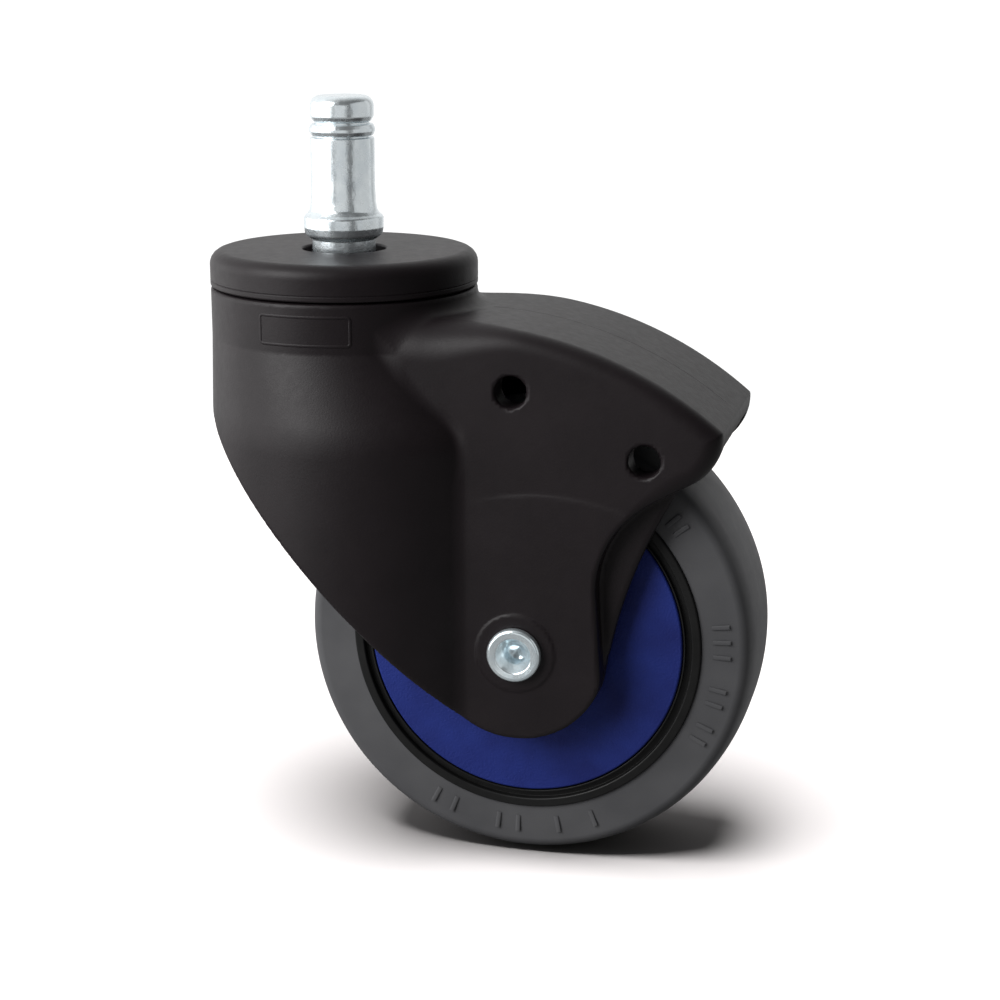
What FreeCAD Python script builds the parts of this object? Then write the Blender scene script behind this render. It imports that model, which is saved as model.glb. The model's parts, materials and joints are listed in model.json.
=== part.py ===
import FreeCAD, Part
import math
import os
import re

import Sketcher
from FreeCAD import Placement, Rotation, Vector

# An office-chair caster: a grip-ring stem on a ball-bearing swivel head, a one-piece plastic fork
# housing and one wheel on two small ball bearings. Millimetres.
#
# Row frame: Z up, the origin on the swivel axis where the stem's barrel leaves its collar. X points
# from the swivel axis towards the wheel's axle, and Y along the axle. Sketches of the stem, the head
# and the fork are drawn with heights above the floor that the wheel rolls on, and each of those
# sub-parts' Placement lowers it by base_height. The wheel's pieces are drawn about their own axle,
# Z outwards, and placed at the axle.

DIMENSIONS = {
    # whole caster
    "wheel_radius": 40.0,
    "swivel_offset": 35.5,
    "base_height": 111.6,
    # stem
    "stem_radius": 5.55,
    "stem_flare": 0.35,
    "head_height": 131.4,
    "head_radius": 5.5,
    "head_round": 2.3,
    "head_foot_round": 1.0,
    "ring_low": 124.6,
    "ring_high": 126.6,
    "ring_radius": 5.76,
    "ring_gap_angle": 18.0,
    "ring_side_step": 0.3,
    "ring_face_radius": 1.9,
    "ring_clearance": 0.05,
    "ring_groove_radius": 4.7,
    "ring_groove_lip": 0.35,
    "collar_radius": 6.95,
    "collar_low": 106.9,
    "collar_high": 111.1,
    "collar_round": 1.9,
    "collar_top_round": 0.9,
    "neck_radius": 5.5,
    "shoulder_radius": 7.0,
    "shoulder_high": 98.2,
    "tail_radius": 4.5,
    "tail_low": 78.0,
    "tail_chamfer": 0.6,
    # swivel head
    "head_wall_radius": 23.3,
    "seam_height": 98.9,
    "seam_chamfer": 0.35,
    "cap_gap": 0.25,
    "cap_height": 105.2,
    "cap_radius": 23.35,
    "cap_round": 4.6,
    "cap_hole_radius": 7.3,
    "cap_hole_chamfer": 0.4,
    "cap_cavity_radius": 13.6,
    "cap_cavity_high": 101.6,
    "spigot_radius": 15.9,
    "seal_low": 101.9,
    "seal_high": 103.6,
    "seal_clearance": 0.06,
    "seal_body_gap": 1.1,
    "seal_bevel": 0.4,
    "seal_lip_round": 0.2,
    # swivel bearing: half width, radii of its races, balls and cage
    "swivel_bearing_low": 86.0,
    "swivel_bearing_half": 5.0,
    "swivel_bore": 6.0,
    "swivel_inner_shoulder": 9.3,
    "swivel_pitch": 11.0,
    "swivel_ball": 2.95,
    "swivel_outer_shoulder": 12.7,
    "swivel_outside": 16.0,
    "swivel_cage_half_wall": 0.7,
    "swivel_cage_half_height": 3.7,
    # bush and circlip under the bearing
    "relief_radius": 12.0,
    "relief_low": 83.4,
    "bush_low": 77.0,
    "bush_radius": 6.5,
    "bush_flange_radius": 8.4,
    "bush_flange": 0.8,
    "bush_clearance": 0.05,
    "bush_recess": 0.1,
    "clip_low": 84.6,
    "clip_thickness": 1.0,
    "clip_radius": 7.8,
    "clip_groove_radius": 5.2,
    "clip_gap_angle": 70.0,
    # fork housing
    "cheek_half_width": 20.0,
    "skirt_half_width": 16.6,
    "slot_half_width": 14.6,
    "cheek_end_radius": 15.5,
    "cheek_end_angle": 17.7,
    "cheek_front_x": 22.0,
    "cheek_overlap": 2.0,
    "cut_angle": 46.3,
    "hood_height": 95.9,
    "hood_front_x": 10.0,
    "hood_arc_start": 24.5,
    "hood_arc_radius": 70.0,
    "hood_arc_angle": 40.1,
    "hood_edge_round": 2.6,
    "beak_under_radius": 9.1,
    "beak_under_back": 4.6,
    "beak_under_drop": 8.6,
    "beak_root_back": 11.1,
    "beak_root_drop": 12.1,
    "waist_x": 49.2,
    "waist_height": 52.0,
    "waist_radius": 17.6,
    "skirt_rear_radius": 90.0,
    "skirt_top_x": 62.6,
    "skirt_top_height": 69.6,
    "skirt_front_x": 45.0,
    "skirt_front_height": 75.0,
    "flare_high": 90.5,
    "flare_low": 78.0,
    "bulge_offset": 5.3,
    "bulge_radius": 28.6,
    "shell_wall": 3.0,
    "core_high": 73.0,
    "liner_low_angle": 160.0,
    "liner_high_angle": 128.0,
    "rib_drop": 10.0,
    "slot_radius": 43.5,
    "slot_front_angle": 205.0,
    "lip_height": 75.8,
    "brake_bay_radius": 49.2,
    "brake_bay_angle": 100.0,
    "pivot_hole_x": 34.6,
    "pivot_hole_height": 85.1,
    "spring_hole_x": 57.1,
    "spring_hole_height": 74.6,
    "brake_hole_radius": 2.7,
    "boss_radius": 6.9,
    "boss_height": 0.35,
    # axle
    "axle_radius": 4.0,
    "rivet_head_radius": 4.65,
    "rivet_head_half_width": 21.9,
    "rivet_head_round": 0.75,
    "rivet_funnel_radius": 3.1,
    "rivet_bore_radius": 1.9,
    "rivet_bore_depth": 4.5,
    "rivet_dish": 0.25,
    "rivet_funnel_depth": 1.9,
    "rivet_point": 1.1,
    "spacer_radius": 5.6,
    "side_spacer_radius": 6.0,
    # wheel bearings: as the swivel bearing's
    "wheel_bearing_in": 4.1,
    "wheel_bearing_half": 3.5,
    "wheel_inner_shoulder": 6.1,
    "wheel_pitch": 7.5,
    "wheel_ball": 1.95,
    "wheel_outer_shoulder": 8.9,
    "wheel_outside": 11.0,
    "wheel_cage_half_wall": 0.6,
    "wheel_cage_half_height": 2.55,
    # wheel
    "tyre_half_width": 12.0,
    "tread_crown": 0.5,
    "tread_half_flat": 8.5,
    "tyre_shoulder_radius": 37.6,
    "tyre_shoulder_round": 2.9,
    "tyre_shoulder_half": 1.2,
    "tyre_shoulder_drop": 1.4,
    "tyre_seat_radius": 29.4,
    "tyre_seat_half_width": 8.8,
    "tyre_key_half_width": 9.8,
    "tyre_wall_radius": 30.7,
    "tyre_wall_half_width": 12.4,
    "rim_lip_half_width": 12.9,
    "rim_groove_radius": 29.1,
    "rim_groove_depth": 1.0,
    "rim_wall_radius": 27.7,
    "rim_wall": 2.7,
    "rim_ridge": 0.3,
    "rim_ridge_drop": 0.1,
    "rim_chamfer": 0.2,
    "hub_half_width": 11.1,
    "hub_radius": 14.0,
    "hub_land_radius": 9.5,
    "web_half_width": 2.0,
    "rib_half_width": 8.0,
    "rib_thickness": 1.6,
    "rib_overlap": 1.0,
    "disc_radius": 27.5,
    "disc_half_width": 12.7,
    "disc_thickness": 1.5,
    "disc_hole_radius": 6.7,
    "disc_chamfer": 0.3,
    # shared
    "groove_gap": 0.03,
    "pocket_gap": 0.05,
    "shield_thickness": 0.4,
    "shield_clearance": 0.2,
    "shield_recess": 0.1,
}

BALL_COUNT = 7
RIB_COUNT = 8

doc = FreeCAD.newDocument("caster")
sheet = doc.addObject("Spreadsheet::Sheet", "dims")
for row, (name, number) in enumerate(DIMENSIONS.items(), start=1):
    sheet.set(f"A{row}", name)
    sheet.set(f"B{row}", str(number))
    sheet.setAlias(f"B{row}", name)
doc.recompute()


def cell(text):
    """The expression with each dimension's name turned into a reference to its cell."""

    def reference(word):
        return "dims." + word[0] if word[0] in DIMENSIONS else word[0]

    return re.sub(r"[a-z_]\w*", reference, text)


def value(text):
    """What an expression of dimension names comes to."""
    result = sheet.evalExpression(cell(text))
    return float(getattr(result, "Value", result))


# Heights and places that several sub-parts share, as expressions of the dimensions.
AXLE = ("swivel_offset", "wheel_radius")
SWIVEL_MIDDLE = "swivel_bearing_low + swivel_bearing_half"
WHEEL_BEARING_OUT = "wheel_bearing_in + 2 * wheel_bearing_half"
CHEEK_END_LOW = "wheel_radius - cheek_end_radius"
LINER_RADIUS = "slot_radius + shell_wall"
LINER_HALF_WIDTH = "slot_half_width + shell_wall"

# A length, or volume, too small to count, in millimetres or cubic millimetres.
FLATNESS = 0.01


def polar(radius, angle, centre=("0", "0")):
    """The point at a radius and an angle in degrees from a centre, as a pair of expressions."""
    return (
        f"{centre[0]} + ({radius}) * cos(({angle}) * 1 deg)",
        f"{centre[1]} + ({radius}) * sin(({angle}) * 1 deg)",
    )


# Where the cheeks' round end meets their rear edge.
CHEEK_REAR = polar("cheek_end_radius", "-cheek_end_angle", AXLE)


def new_body(label):
    """An empty PartDesign body that names one sub-part."""
    body = doc.addObject("PartDesign::Body", label)
    body.Label = label
    return body


def new_sketch(body, name, plane, offset="0"):
    """A sketch on one of the body's own origin planes, moved along its normal by offset."""
    sketch = body.newObject("Sketcher::SketchObject", f"{body.Name}_{name}")
    base = next(f for f in body.Origin.OriginFeatures if f.Role == plane)
    sketch.AttachmentSupport = [(base, "")]
    sketch.MapMode = "FlatFace"
    if offset != "0":
        sketch.setExpression("AttachmentOffset.Base.z", cell(offset))
    return sketch


def bind(sketch, constraint, expression):
    """Add a constraint and tie its size to an expression."""
    index = sketch.addConstraint(constraint)
    sketch.setExpression(f"Constraints[{index}]", cell(expression))


def arc_through(start, end, radius):
    """The short arc from start to end. A positive radius turns left on the way, a negative one right.

    Returns the curve and whether it runs from start to end, since a sketch's arcs all turn left.
    """
    chord = end - start
    half = chord.Length / 2
    inward = Vector(-chord.y, chord.x, 0).normalize() * math.copysign(1, radius)
    centre = (start + end) / 2 + inward * math.sqrt(max(radius * radius - half * half, 0))
    first, last = (start, end) if radius > 0 else (end, start)
    angles = [math.atan2(p.y - centre.y, p.x - centre.x) for p in (first, last)]
    circle = Part.Circle(centre, Vector(0, 0, 1), abs(radius))
    return Part.ArcOfCircle(circle, angles[0], angles[1]), radius > 0


def draw_outline(sketch, corners):
    """Draw one closed outline. Each corner is a pair of expressions, or a triple whose third is the
    signed radius of the arc that arrives there. Every corner and radius is bound to the sheet."""
    points = [Vector(value(c[0]), value(c[1]), 0) for c in corners]
    ends = []
    for i, corner in enumerate(corners):
        start, end = points[i - 1], points[i]
        if len(corner) == 2:
            edge = sketch.addGeometry(Part.LineSegment(start, end))
            ends.append((edge, 1, 2))
            continue
        radius = value(corner[2])
        arc, forward = arc_through(start, end, radius)
        edge = sketch.addGeometry(arc)
        ends.append((edge, 1, 2) if forward else (edge, 2, 1))
        sign = "" if forward else "-"
        bind(sketch, Sketcher.Constraint("Radius", edge, abs(radius)), f"{sign}({corner[2]})")
    for i, corner in enumerate(corners):
        edge, _, last = ends[i]
        following, first, _ = ends[(i + 1) % len(ends)]
        sketch.addConstraint(Sketcher.Constraint("Coincident", edge, last, following, first))
        bind(sketch, Sketcher.Constraint("DistanceX", -1, 1, edge, last, points[i].x), corner[0])
        bind(sketch, Sketcher.Constraint("DistanceY", -1, 1, edge, last, points[i].y), corner[1])


def draw_circle(sketch, centre, radius):
    """Draw a circle whose centre and radius are bound to the sheet."""
    x, y, r = value(centre[0]), value(centre[1]), value(radius)
    edge = sketch.addGeometry(Part.Circle(Vector(x, y, 0), Vector(0, 0, 1), r))
    bind(sketch, Sketcher.Constraint("DistanceX", -1, 1, edge, 3, x), centre[0])
    bind(sketch, Sketcher.Constraint("DistanceY", -1, 1, edge, 3, y), centre[1])
    bind(sketch, Sketcher.Constraint("Radius", edge, r), radius)


def origin_axis(body, role):
    return next(f for f in body.Origin.OriginFeatures if f.Role == role)


def revolve(body, name, corners, angle="360"):
    """Turn an outline of radius and height about the body's Z axis."""
    sketch = new_sketch(body, name, "XZ_Plane")
    draw_outline(sketch, corners)
    feature = body.newObject("PartDesign::Revolution", f"{body.Name}_{name}_turned")
    feature.Profile = sketch
    feature.ReferenceAxis = (origin_axis(body, "Z_Axis"), [""])
    feature.setExpression("Angle", cell(angle))
    return feature


def groove(body, name, corners):
    """Cut an outline of radius and height all round the body's Z axis."""
    before = solid_volume(body)
    sketch = new_sketch(body, name, "XZ_Plane")
    draw_outline(sketch, corners)
    feature = body.newObject("PartDesign::Groove", f"{body.Name}_{name}_cut")
    feature.Profile = sketch
    feature.ReferenceAxis = (origin_axis(body, "Z_Axis"), [""])
    require_less(body, name, before)


def pad(body, name, draw, plane, length, offset="0", symmetric=False):
    """Pad what draw(sketch) draws. A symmetric pad is length wide in all."""
    sketch = new_sketch(body, name, plane, offset)
    draw(sketch)
    feature = body.newObject("PartDesign::Pad", f"{body.Name}_{name}_pad")
    feature.Profile = sketch
    feature.setExpression("Length", cell(length))
    if symmetric:
        feature.Midplane = True
    return feature


def pocket(body, name, draw, plane, length, offset="0", symmetric=False, upwards=False):
    """Cut what draw(sketch) draws out of the body, down from the sketch unless upwards."""
    before = solid_volume(body)
    sketch = new_sketch(body, name, plane, offset)
    draw(sketch)
    feature = body.newObject("PartDesign::Pocket", f"{body.Name}_{name}_pocket")
    feature.Profile = sketch
    feature.setExpression("Length", cell(length))
    feature.Reversed = upwards
    if symmetric:
        feature.Midplane = True
    require_less(body, name, before)
    return feature


def solid_volume(body):
    doc.recompute()
    return body.Shape.Volume


def require_less(body, name, before):
    """Stop if a cut took nothing away, which is what one that points away from the solid does."""
    if solid_volume(body) > before - FLATNESS:
        raise RuntimeError(f"{name} cut nothing from {body.Label}")


def repeat(body, feature, count):
    """Repeat a feature evenly about the body's Z axis."""
    pattern = body.newObject("PartDesign::PolarPattern", f"{feature.Name}_ring")
    pattern.Originals = [feature]
    pattern.Axis = (origin_axis(body, "Z_Axis"), [""])
    pattern.Angle = 360
    pattern.Occurrences = count
    body.Tip = pattern


def lower_to_frame(item):
    """Place a sub-part that is drawn with heights above the floor."""
    item.setExpression("Placement.Base.z", cell("-base_height"))


def place_at_axle(item, side):
    """Place a sub-part of the wheel with its Z axis outwards: side -1 is -Y, side 1 is +Y."""
    item.Placement = Placement(Vector(), Rotation(Vector(1, 0, 0), -90 * side))
    item.setExpression("Placement.Base.x", cell("swivel_offset"))
    item.setExpression("Placement.Base.z", cell("wheel_radius - base_height"))


def mirrored(half):
    """The other half of a turned outline that is the same on both sides of zero height."""
    corners = [(radius, f"-({height})") for radius, height, *_ in reversed(half)]
    for i, corner in enumerate(reversed(half)):
        if len(corner) == 3:
            corners[i + 1] = (*corners[i + 1], corner[2])
    return corners


def ring_outline(inner, outer, low, high):
    return [(inner, low), (outer, low), (outer, high), (inner, high)]


# ---------------------------------------------------------------------------------------------- stem


def make_stem():
    """The steel stem: tail, bearing seat, shoulder, neck, collar, barrel and rounded head."""
    body = new_body("stem")
    seat_high = "swivel_bearing_low + 2 * swivel_bearing_half"
    groove_low = "ring_low - ring_groove_lip"
    groove_high = "ring_high + ring_groove_lip"
    head_edge = "head_height - head_round"
    corners = [
        ("0", "tail_low"),
        ("tail_radius - tail_chamfer", "tail_low"),
        ("tail_radius", "tail_low + tail_chamfer"),
        ("tail_radius", "relief_low"),
        ("swivel_bore", "relief_low"),
        ("swivel_bore", seat_high),
        ("shoulder_radius", seat_high),
        ("shoulder_radius", "shoulder_high"),
        ("neck_radius", "shoulder_high"),
        ("neck_radius", "collar_low"),
        ("collar_radius - collar_round", "collar_low"),
        ("collar_radius", "collar_low + collar_round", "collar_round"),
        ("collar_radius", "collar_high - collar_top_round"),
        ("collar_radius - collar_top_round", "collar_high", "collar_top_round"),
        ("stem_radius + stem_flare", "collar_high"),
        ("stem_radius", "base_height"),
        ("stem_radius", groove_low),
        ("ring_groove_radius", groove_low),
        ("ring_groove_radius", groove_high),
        ("head_radius - head_foot_round", groove_high),
        ("head_radius", f"{groove_high} + head_foot_round", "head_foot_round"),
        ("head_radius", head_edge),
        ("head_radius - head_round", "head_height", "head_round"),
        ("0", "head_height"),
    ]
    revolve(body, "profile", corners)
    groove(body, "clip", ring_outline("clip_groove_radius", "clip_radius", "clip_low",
                                      "clip_low + clip_thickness"))
    return body


def make_grip_ring():
    """The split spring ring that snaps into the socket: rounded outside, open at the back."""
    body = new_body("grip_ring")
    middle = "(ring_low + ring_high) / 2"
    corners = [
        ("ring_groove_radius + ring_clearance", "ring_low"),
        ("ring_radius - ring_side_step", "ring_low"),
        ("ring_radius", middle, "ring_face_radius"),
        ("ring_radius - ring_side_step", "ring_high", "ring_face_radius"),
        ("ring_groove_radius + ring_clearance", "ring_high"),
    ]
    revolve(body, "profile", corners, "360 - ring_gap_angle")
    # The gap is drawn just before +X and turned to +Y.
    body.setExpression("Placement.Rotation.Angle", cell("90 + ring_gap_angle / 2"))
    return body


def make_retaining_clip():
    """The circlip under the inner race."""
    body = new_body("retaining_clip")
    outline = ring_outline("clip_groove_radius", "clip_radius", "clip_low", "clip_low + clip_thickness")
    revolve(body, "profile", outline, "360 - clip_gap_angle")
    return body


# --------------------------------------------------------------------------------------- ball bearing


def race_corners(inner, outer, half, pitch, ball, outward):
    """Half section of a race about Z, with its ball groove on the outside or on the inside."""
    shoulder = outer if outward else inner
    back = inner if outward else outer
    reach = f"{ball} + groove_gap"
    edge = f"sqrt(({reach}) * ({reach}) - ({shoulder} - {pitch}) * ({shoulder} - {pitch}))"
    if outward:
        return [
            (back, f"-({half})"),
            (shoulder, f"-({half})"),
            (shoulder, f"-{edge}"),
            (shoulder, edge, f"-({reach})"),
            (shoulder, half),
            (back, half),
        ]
    return [
        (back, half),
        (shoulder, half),
        (shoulder, edge),
        (shoulder, f"-{edge}", f"-({reach})"),
        (shoulder, f"-({half})"),
        (back, f"-({half})"),
    ]


def make_balls(label, pitch, ball):
    """A ring of loose steel balls."""
    balls = []
    for i in range(BALL_COUNT):
        sphere = doc.addObject("Part::Sphere", f"{label}_{i}")
        sphere.setExpression("Radius", cell(ball))
        angle = 360 * i / BALL_COUNT
        sphere.setExpression("Placement.Base.x", cell(f"{pitch} * cos({angle} * 1 deg)"))
        sphere.setExpression("Placement.Base.y", cell(f"{pitch} * sin({angle} * 1 deg)"))
        balls.append(sphere)
    ring = doc.addObject("Part::Compound", label)
    ring.Label = label
    ring.Links = balls
    return ring


def make_cage(label, pitch, ball, half_wall, half_height):
    """The cage: a plain ring with one round pocket for each ball."""
    body = new_body(label)
    inner, outer = f"{pitch} - {half_wall}", f"{pitch} + {half_wall}"
    revolve(body, "profile", ring_outline(inner, outer, f"-{half_height}", half_height))
    first = pocket(body, "ball_pocket", lambda s: draw_circle(s, ("0", "0"), f"{ball} + pocket_gap"),
                   "YZ_Plane", f"2 * ({outer})", upwards=True)
    repeat(body, first, BALL_COUNT)
    return body


def make_bearing(prefix, bore, side=""):
    """One ball bearing about its own centre. Its shield faces +Z."""
    half, pitch, ball = f"{prefix}_bearing_half", f"{prefix}_pitch", f"{prefix}_ball"
    inner_shoulder, outer_shoulder = f"{prefix}_inner_shoulder", f"{prefix}_outer_shoulder"
    inner = new_body(f"{prefix}_inner_race{side}")
    revolve(inner, "profile", race_corners(bore, inner_shoulder, half, pitch, ball, True))
    outer = new_body(f"{prefix}_outer_race{side}")
    revolve(outer, "profile", race_corners(outer_shoulder, f"{prefix}_outside", half, pitch, ball, False))
    cage = make_cage(f"{prefix}_ball_cage{side}", pitch, ball, f"{prefix}_cage_half_wall",
                     f"{prefix}_cage_half_height")
    balls = make_balls(f"{prefix}_balls{side}", pitch, ball)
    shield = new_body(f"{prefix}_bearing_shield{side}")
    high = f"{half} - shield_recess"
    revolve(shield, "profile", ring_outline(f"{inner_shoulder} + shield_clearance", outer_shoulder,
                                            f"{high} - shield_thickness", high))
    return [inner, outer, cage, balls, shield]


def make_swivel_bearing():
    """The large bearing between the stem and the fork."""
    pieces = make_bearing("swivel", "swivel_bore")
    for piece in pieces:
        piece.setExpression("Placement.Base.z", cell(f"{SWIVEL_MIDDLE} - base_height"))
    return pieces


def make_wheel_bearing(name, side):
    """One of the two small bearings in the wheel's hub."""
    pieces = make_bearing("wheel", "axle_radius", f"_{name}")
    for piece in pieces:
        place_at_axle(piece, side)
        piece.setExpression("Placement.Base.y", cell(f"{side} * (wheel_bearing_in + wheel_bearing_half)"))
    return pieces


# ---------------------------------------------------------------------------------------- swivel head


def make_head_cap():
    """The cap over the bearing: a rounded lid with a hole for the neck and a spigot in the head."""
    body = new_body("head_cap")
    low = "seam_height + cap_gap"
    bearing_high = "swivel_bearing_low + 2 * swivel_bearing_half"
    corners = [
        ("cap_cavity_radius", bearing_high),
        ("spigot_radius", bearing_high),
        ("spigot_radius", low),
        ("cap_radius - seam_chamfer", low),
        ("cap_radius", f"{low} + seam_chamfer"),
        ("cap_radius", "cap_height - cap_round"),
        ("cap_radius - cap_round", "cap_height", "cap_round"),
        ("cap_hole_radius + cap_hole_chamfer", "cap_height"),
        ("cap_hole_radius", "cap_height - cap_hole_chamfer"),
        ("cap_hole_radius", "cap_cavity_high"),
        ("cap_cavity_radius", "cap_cavity_high"),
    ]
    revolve(body, "profile", corners)
    return body


def make_dust_seal():
    """The rubber ring in the cap's hole, with a thin lip towards the neck."""
    body = new_body("dust_seal")
    lip = "neck_radius + seal_clearance"
    corners = [
        (f"{lip} + seal_body_gap", "seal_low"),
        ("cap_hole_radius", "seal_low"),
        ("cap_hole_radius", "seal_high"),
        (f"{lip} + seal_body_gap", "seal_high - seal_bevel"),
        (lip, "seal_high - seal_lip_round"),
        (lip, "seal_high - seal_bevel - seal_lip_round"),
    ]
    revolve(body, "profile", corners)
    return body


def make_swivel_bush():
    """The flanged plastic bush that steadies the stem's tail."""
    body = new_body("swivel_bush")
    bore = "tail_radius + bush_clearance"
    corners = [
        (bore, "bush_low"),
        ("bush_radius", "bush_low"),
        ("bush_radius", "relief_low - bush_flange"),
        ("bush_flange_radius", "relief_low - bush_flange"),
        ("bush_flange_radius", "relief_low - bush_recess"),
        (bore, "relief_low - bush_recess"),
    ]
    revolve(body, "profile", corners)
    return body


# --------------------------------------------------------------------------------------- fork housing


def draw_cheek_outline(sketch):
    """The cheeks and the hood seen along the axle, with a beak at the rear."""
    beak_x, beak_height = polar("hood_arc_radius", "90 - hood_arc_angle",
                                ("hood_arc_start", "hood_height - hood_arc_radius"))
    draw_outline(sketch, [
        ("hood_front_x", "hood_height"),
        ("hood_arc_start", "hood_height"),
        (beak_x, beak_height, "-hood_arc_radius"),
        (f"{beak_x} - beak_under_back", f"{beak_height} - beak_under_drop", "-beak_under_radius"),
        (f"{beak_x} - beak_root_back", f"{beak_height} - beak_root_drop"),
        ("waist_x", "waist_height", "waist_radius"),
        CHEEK_REAR,
        (AXLE[0], CHEEK_END_LOW, "-cheek_end_radius"),
        ("cheek_front_x", CHEEK_END_LOW),
        ("cheek_front_x", "flare_low - cheek_overlap"),
        ("hood_front_x", "flare_low - cheek_overlap"),
    ])


def draw_skirt_outline(sketch):
    """The inner skirt of each cheek: it shows behind the outer cheek's hollow rear edge."""
    draw_outline(sketch, [
        (AXLE[0], AXLE[1]),
        CHEEK_REAR,
        ("skirt_top_x", "skirt_top_height", "-skirt_rear_radius"),
        ("skirt_front_x", "skirt_front_height"),
    ])


def draw_liner_outline(sketch):
    """The wall round the wheel's front, inside the shell. The front cut trims it."""
    draw_outline(sketch, [
        ("cheek_front_x", "wheel_radius / 2"),
        polar(LINER_RADIUS, "liner_low_angle", AXLE),
        (*polar(LINER_RADIUS, "liner_high_angle", AXLE), f"-({LINER_RADIUS})"),
        ("cheek_front_x", "core_high + shell_wall"),
    ])


def draw_front_rib_outline(sketch):
    """The rib between the liner and the shell's front. The front cut trims it."""
    front_x = "shell_wall / 2 + bulge_offset - bulge_radius"
    draw_outline(sketch, [
        polar(LINER_RADIUS, "liner_low_angle", AXLE),
        (front_x, "core_high - rib_drop"),
        (front_x, "core_high + shell_wall"),
        polar(LINER_RADIUS, "liner_high_angle", AXLE),
    ])


def draw_slot_outline(sketch):
    """The space for the wheel: close round its front, and wider over its top and rear for a brake."""
    bay_end = "asin((lip_height - wheel_radius) / brake_bay_radius) / 1 deg"
    draw_outline(sketch, [
        polar("slot_radius", "slot_front_angle", AXLE),
        (*polar("slot_radius", "brake_bay_angle", AXLE), "-slot_radius"),
        polar("brake_bay_radius", "brake_bay_angle", AXLE),
        (*polar("brake_bay_radius", bay_end, AXLE), "-brake_bay_radius"),
        ("swivel_offset + 2 * wheel_radius", "lip_height"),
        ("swivel_offset + 2 * wheel_radius", "0"),
        (f"swivel_offset - ({LINER_RADIUS})", "0"),
    ])


def draw_front_cut(sketch):
    """Everything below the sloping edge and in front of the axle."""
    foot = polar("cheek_end_radius", "270 - cut_angle", AXLE)
    top = polar("4 * head_wall_radius", "180 - cut_angle", foot)
    draw_outline(sketch, [
        top,
        foot,
        (AXLE[0], CHEEK_END_LOW, "cheek_end_radius"),
        (AXLE[0], "0"),
        (top[0], "0"),
    ])


def round_edges(body, name, radius, wanted):
    """Round the edges of the body's last feature that wanted(edge) picks."""
    doc.recompute()
    base = body.Tip
    names = [f"Edge{i}" for i, edge in enumerate(base.Shape.Edges, start=1) if wanted(edge)]
    fillet = body.newObject("PartDesign::Fillet", f"{body.Name}_{name}")
    fillet.Base = (base, names)
    fillet.setExpression("Radius", cell(radius))


def make_cheeks():
    """The flat cheeks with the hood over them, as one block without its slot."""
    body = new_body("cheeks")
    pad(body, "outline", draw_cheek_outline, "XZ_Plane", "2 * cheek_half_width", symmetric=True)

    def over_hood(edge):
        box = edge.BoundBox
        along_side = box.YLength < FLATNESS
        return along_side and box.ZMin > value("flare_low") and box.XMax > value("hood_front_x") + FLATNESS

    round_edges(body, "hood_round", "hood_edge_round", over_hood)
    pad(body, "skirts", draw_skirt_outline, "XZ_Plane", "2 * skirt_half_width", symmetric=True)
    pad(body, "bosses", lambda s: draw_circle(s, AXLE, "boss_radius"), "XZ_Plane",
        "2 * (cheek_half_width + boss_height)", symmetric=True)
    return body


def make_fork_housing():
    """The fork: head, oblique flare, round bulge, flat cheeks and hood, cored out from below."""
    body = new_body("fork_housing")
    at_head = ("0", "0")
    at_bulge = ("bulge_offset", "0")

    # The bulge, the flare above it and the head.
    pad(body, "bulge", lambda s: draw_circle(s, at_bulge, "bulge_radius"), "XY_Plane", "flare_low")
    flare = body.newObject("PartDesign::AdditiveLoft", "fork_housing_flare")
    foot = new_sketch(body, "flare_foot", "XY_Plane", "flare_low")
    draw_circle(foot, at_bulge, "bulge_radius")
    top = new_sketch(body, "flare_top", "XY_Plane", "flare_high")
    draw_circle(top, at_head, "head_wall_radius")
    flare.Profile = foot
    flare.Sections = [top]
    flare.Ruled = True
    body.Tip = flare
    pad(body, "head", lambda s: draw_circle(s, at_head, "head_wall_radius"), "XY_Plane",
        "seam_height - flare_high", "flare_high")

    # Hollow the bulge from below, then put back the wall round the wheel and a rib.
    pocket(body, "core", lambda s: draw_circle(s, at_bulge, "bulge_radius - shell_wall"), "XY_Plane",
           "core_high", upwards=True)
    pad(body, "liner", draw_liner_outline, "XZ_Plane", f"2 * ({LINER_HALF_WIDTH})", symmetric=True)
    pad(body, "front_rib", draw_front_rib_outline, "XZ_Plane", "shell_wall", symmetric=True)

    # The cheeks with the hood, then the space for the wheel.
    cheeks = body.newObject("PartDesign::Boolean", "fork_housing_cheeks")
    cheeks.Type = "Fuse"
    cheeks.Group = [make_cheeks()]
    body.Tip = cheeks
    pocket(body, "front_cut", draw_front_cut, "XZ_Plane", "4 * bulge_radius", symmetric=True)
    pocket(body, "slot", draw_slot_outline, "XZ_Plane", "2 * slot_half_width", symmetric=True)

    # The bearing's seat, the relief under it and the bush's seat.
    for name, radius, low in (
        ("bearing_seat", "swivel_outside", "swivel_bearing_low"),
        ("relief", "relief_radius", "relief_low"),
        ("bush_flange_seat", "bush_flange_radius", "relief_low - bush_flange"),
        ("bush_seat", "bush_radius", "bush_low"),
    ):
        pocket(body, name, lambda s, r=radius: draw_circle(s, at_head, r), "XY_Plane",
               f"seam_height - ({low})", "seam_height")

    # Holes right across both cheeks: the axle's, and two for a brake.
    for name, centre, radius in (
        ("axle_hole", AXLE, "axle_radius"),
        ("pivot_hole", ("pivot_hole_x", "pivot_hole_height"), "brake_hole_radius"),
        ("spring_hole", ("spring_hole_x", "spring_hole_height"), "brake_hole_radius"),
    ):
        pocket(body, name, lambda s, c=centre, r=radius: draw_circle(s, c, r), "XZ_Plane",
               "4 * cheek_half_width", symmetric=True)
    return body


# ---------------------------------------------------------------------------------------------- axle


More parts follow.
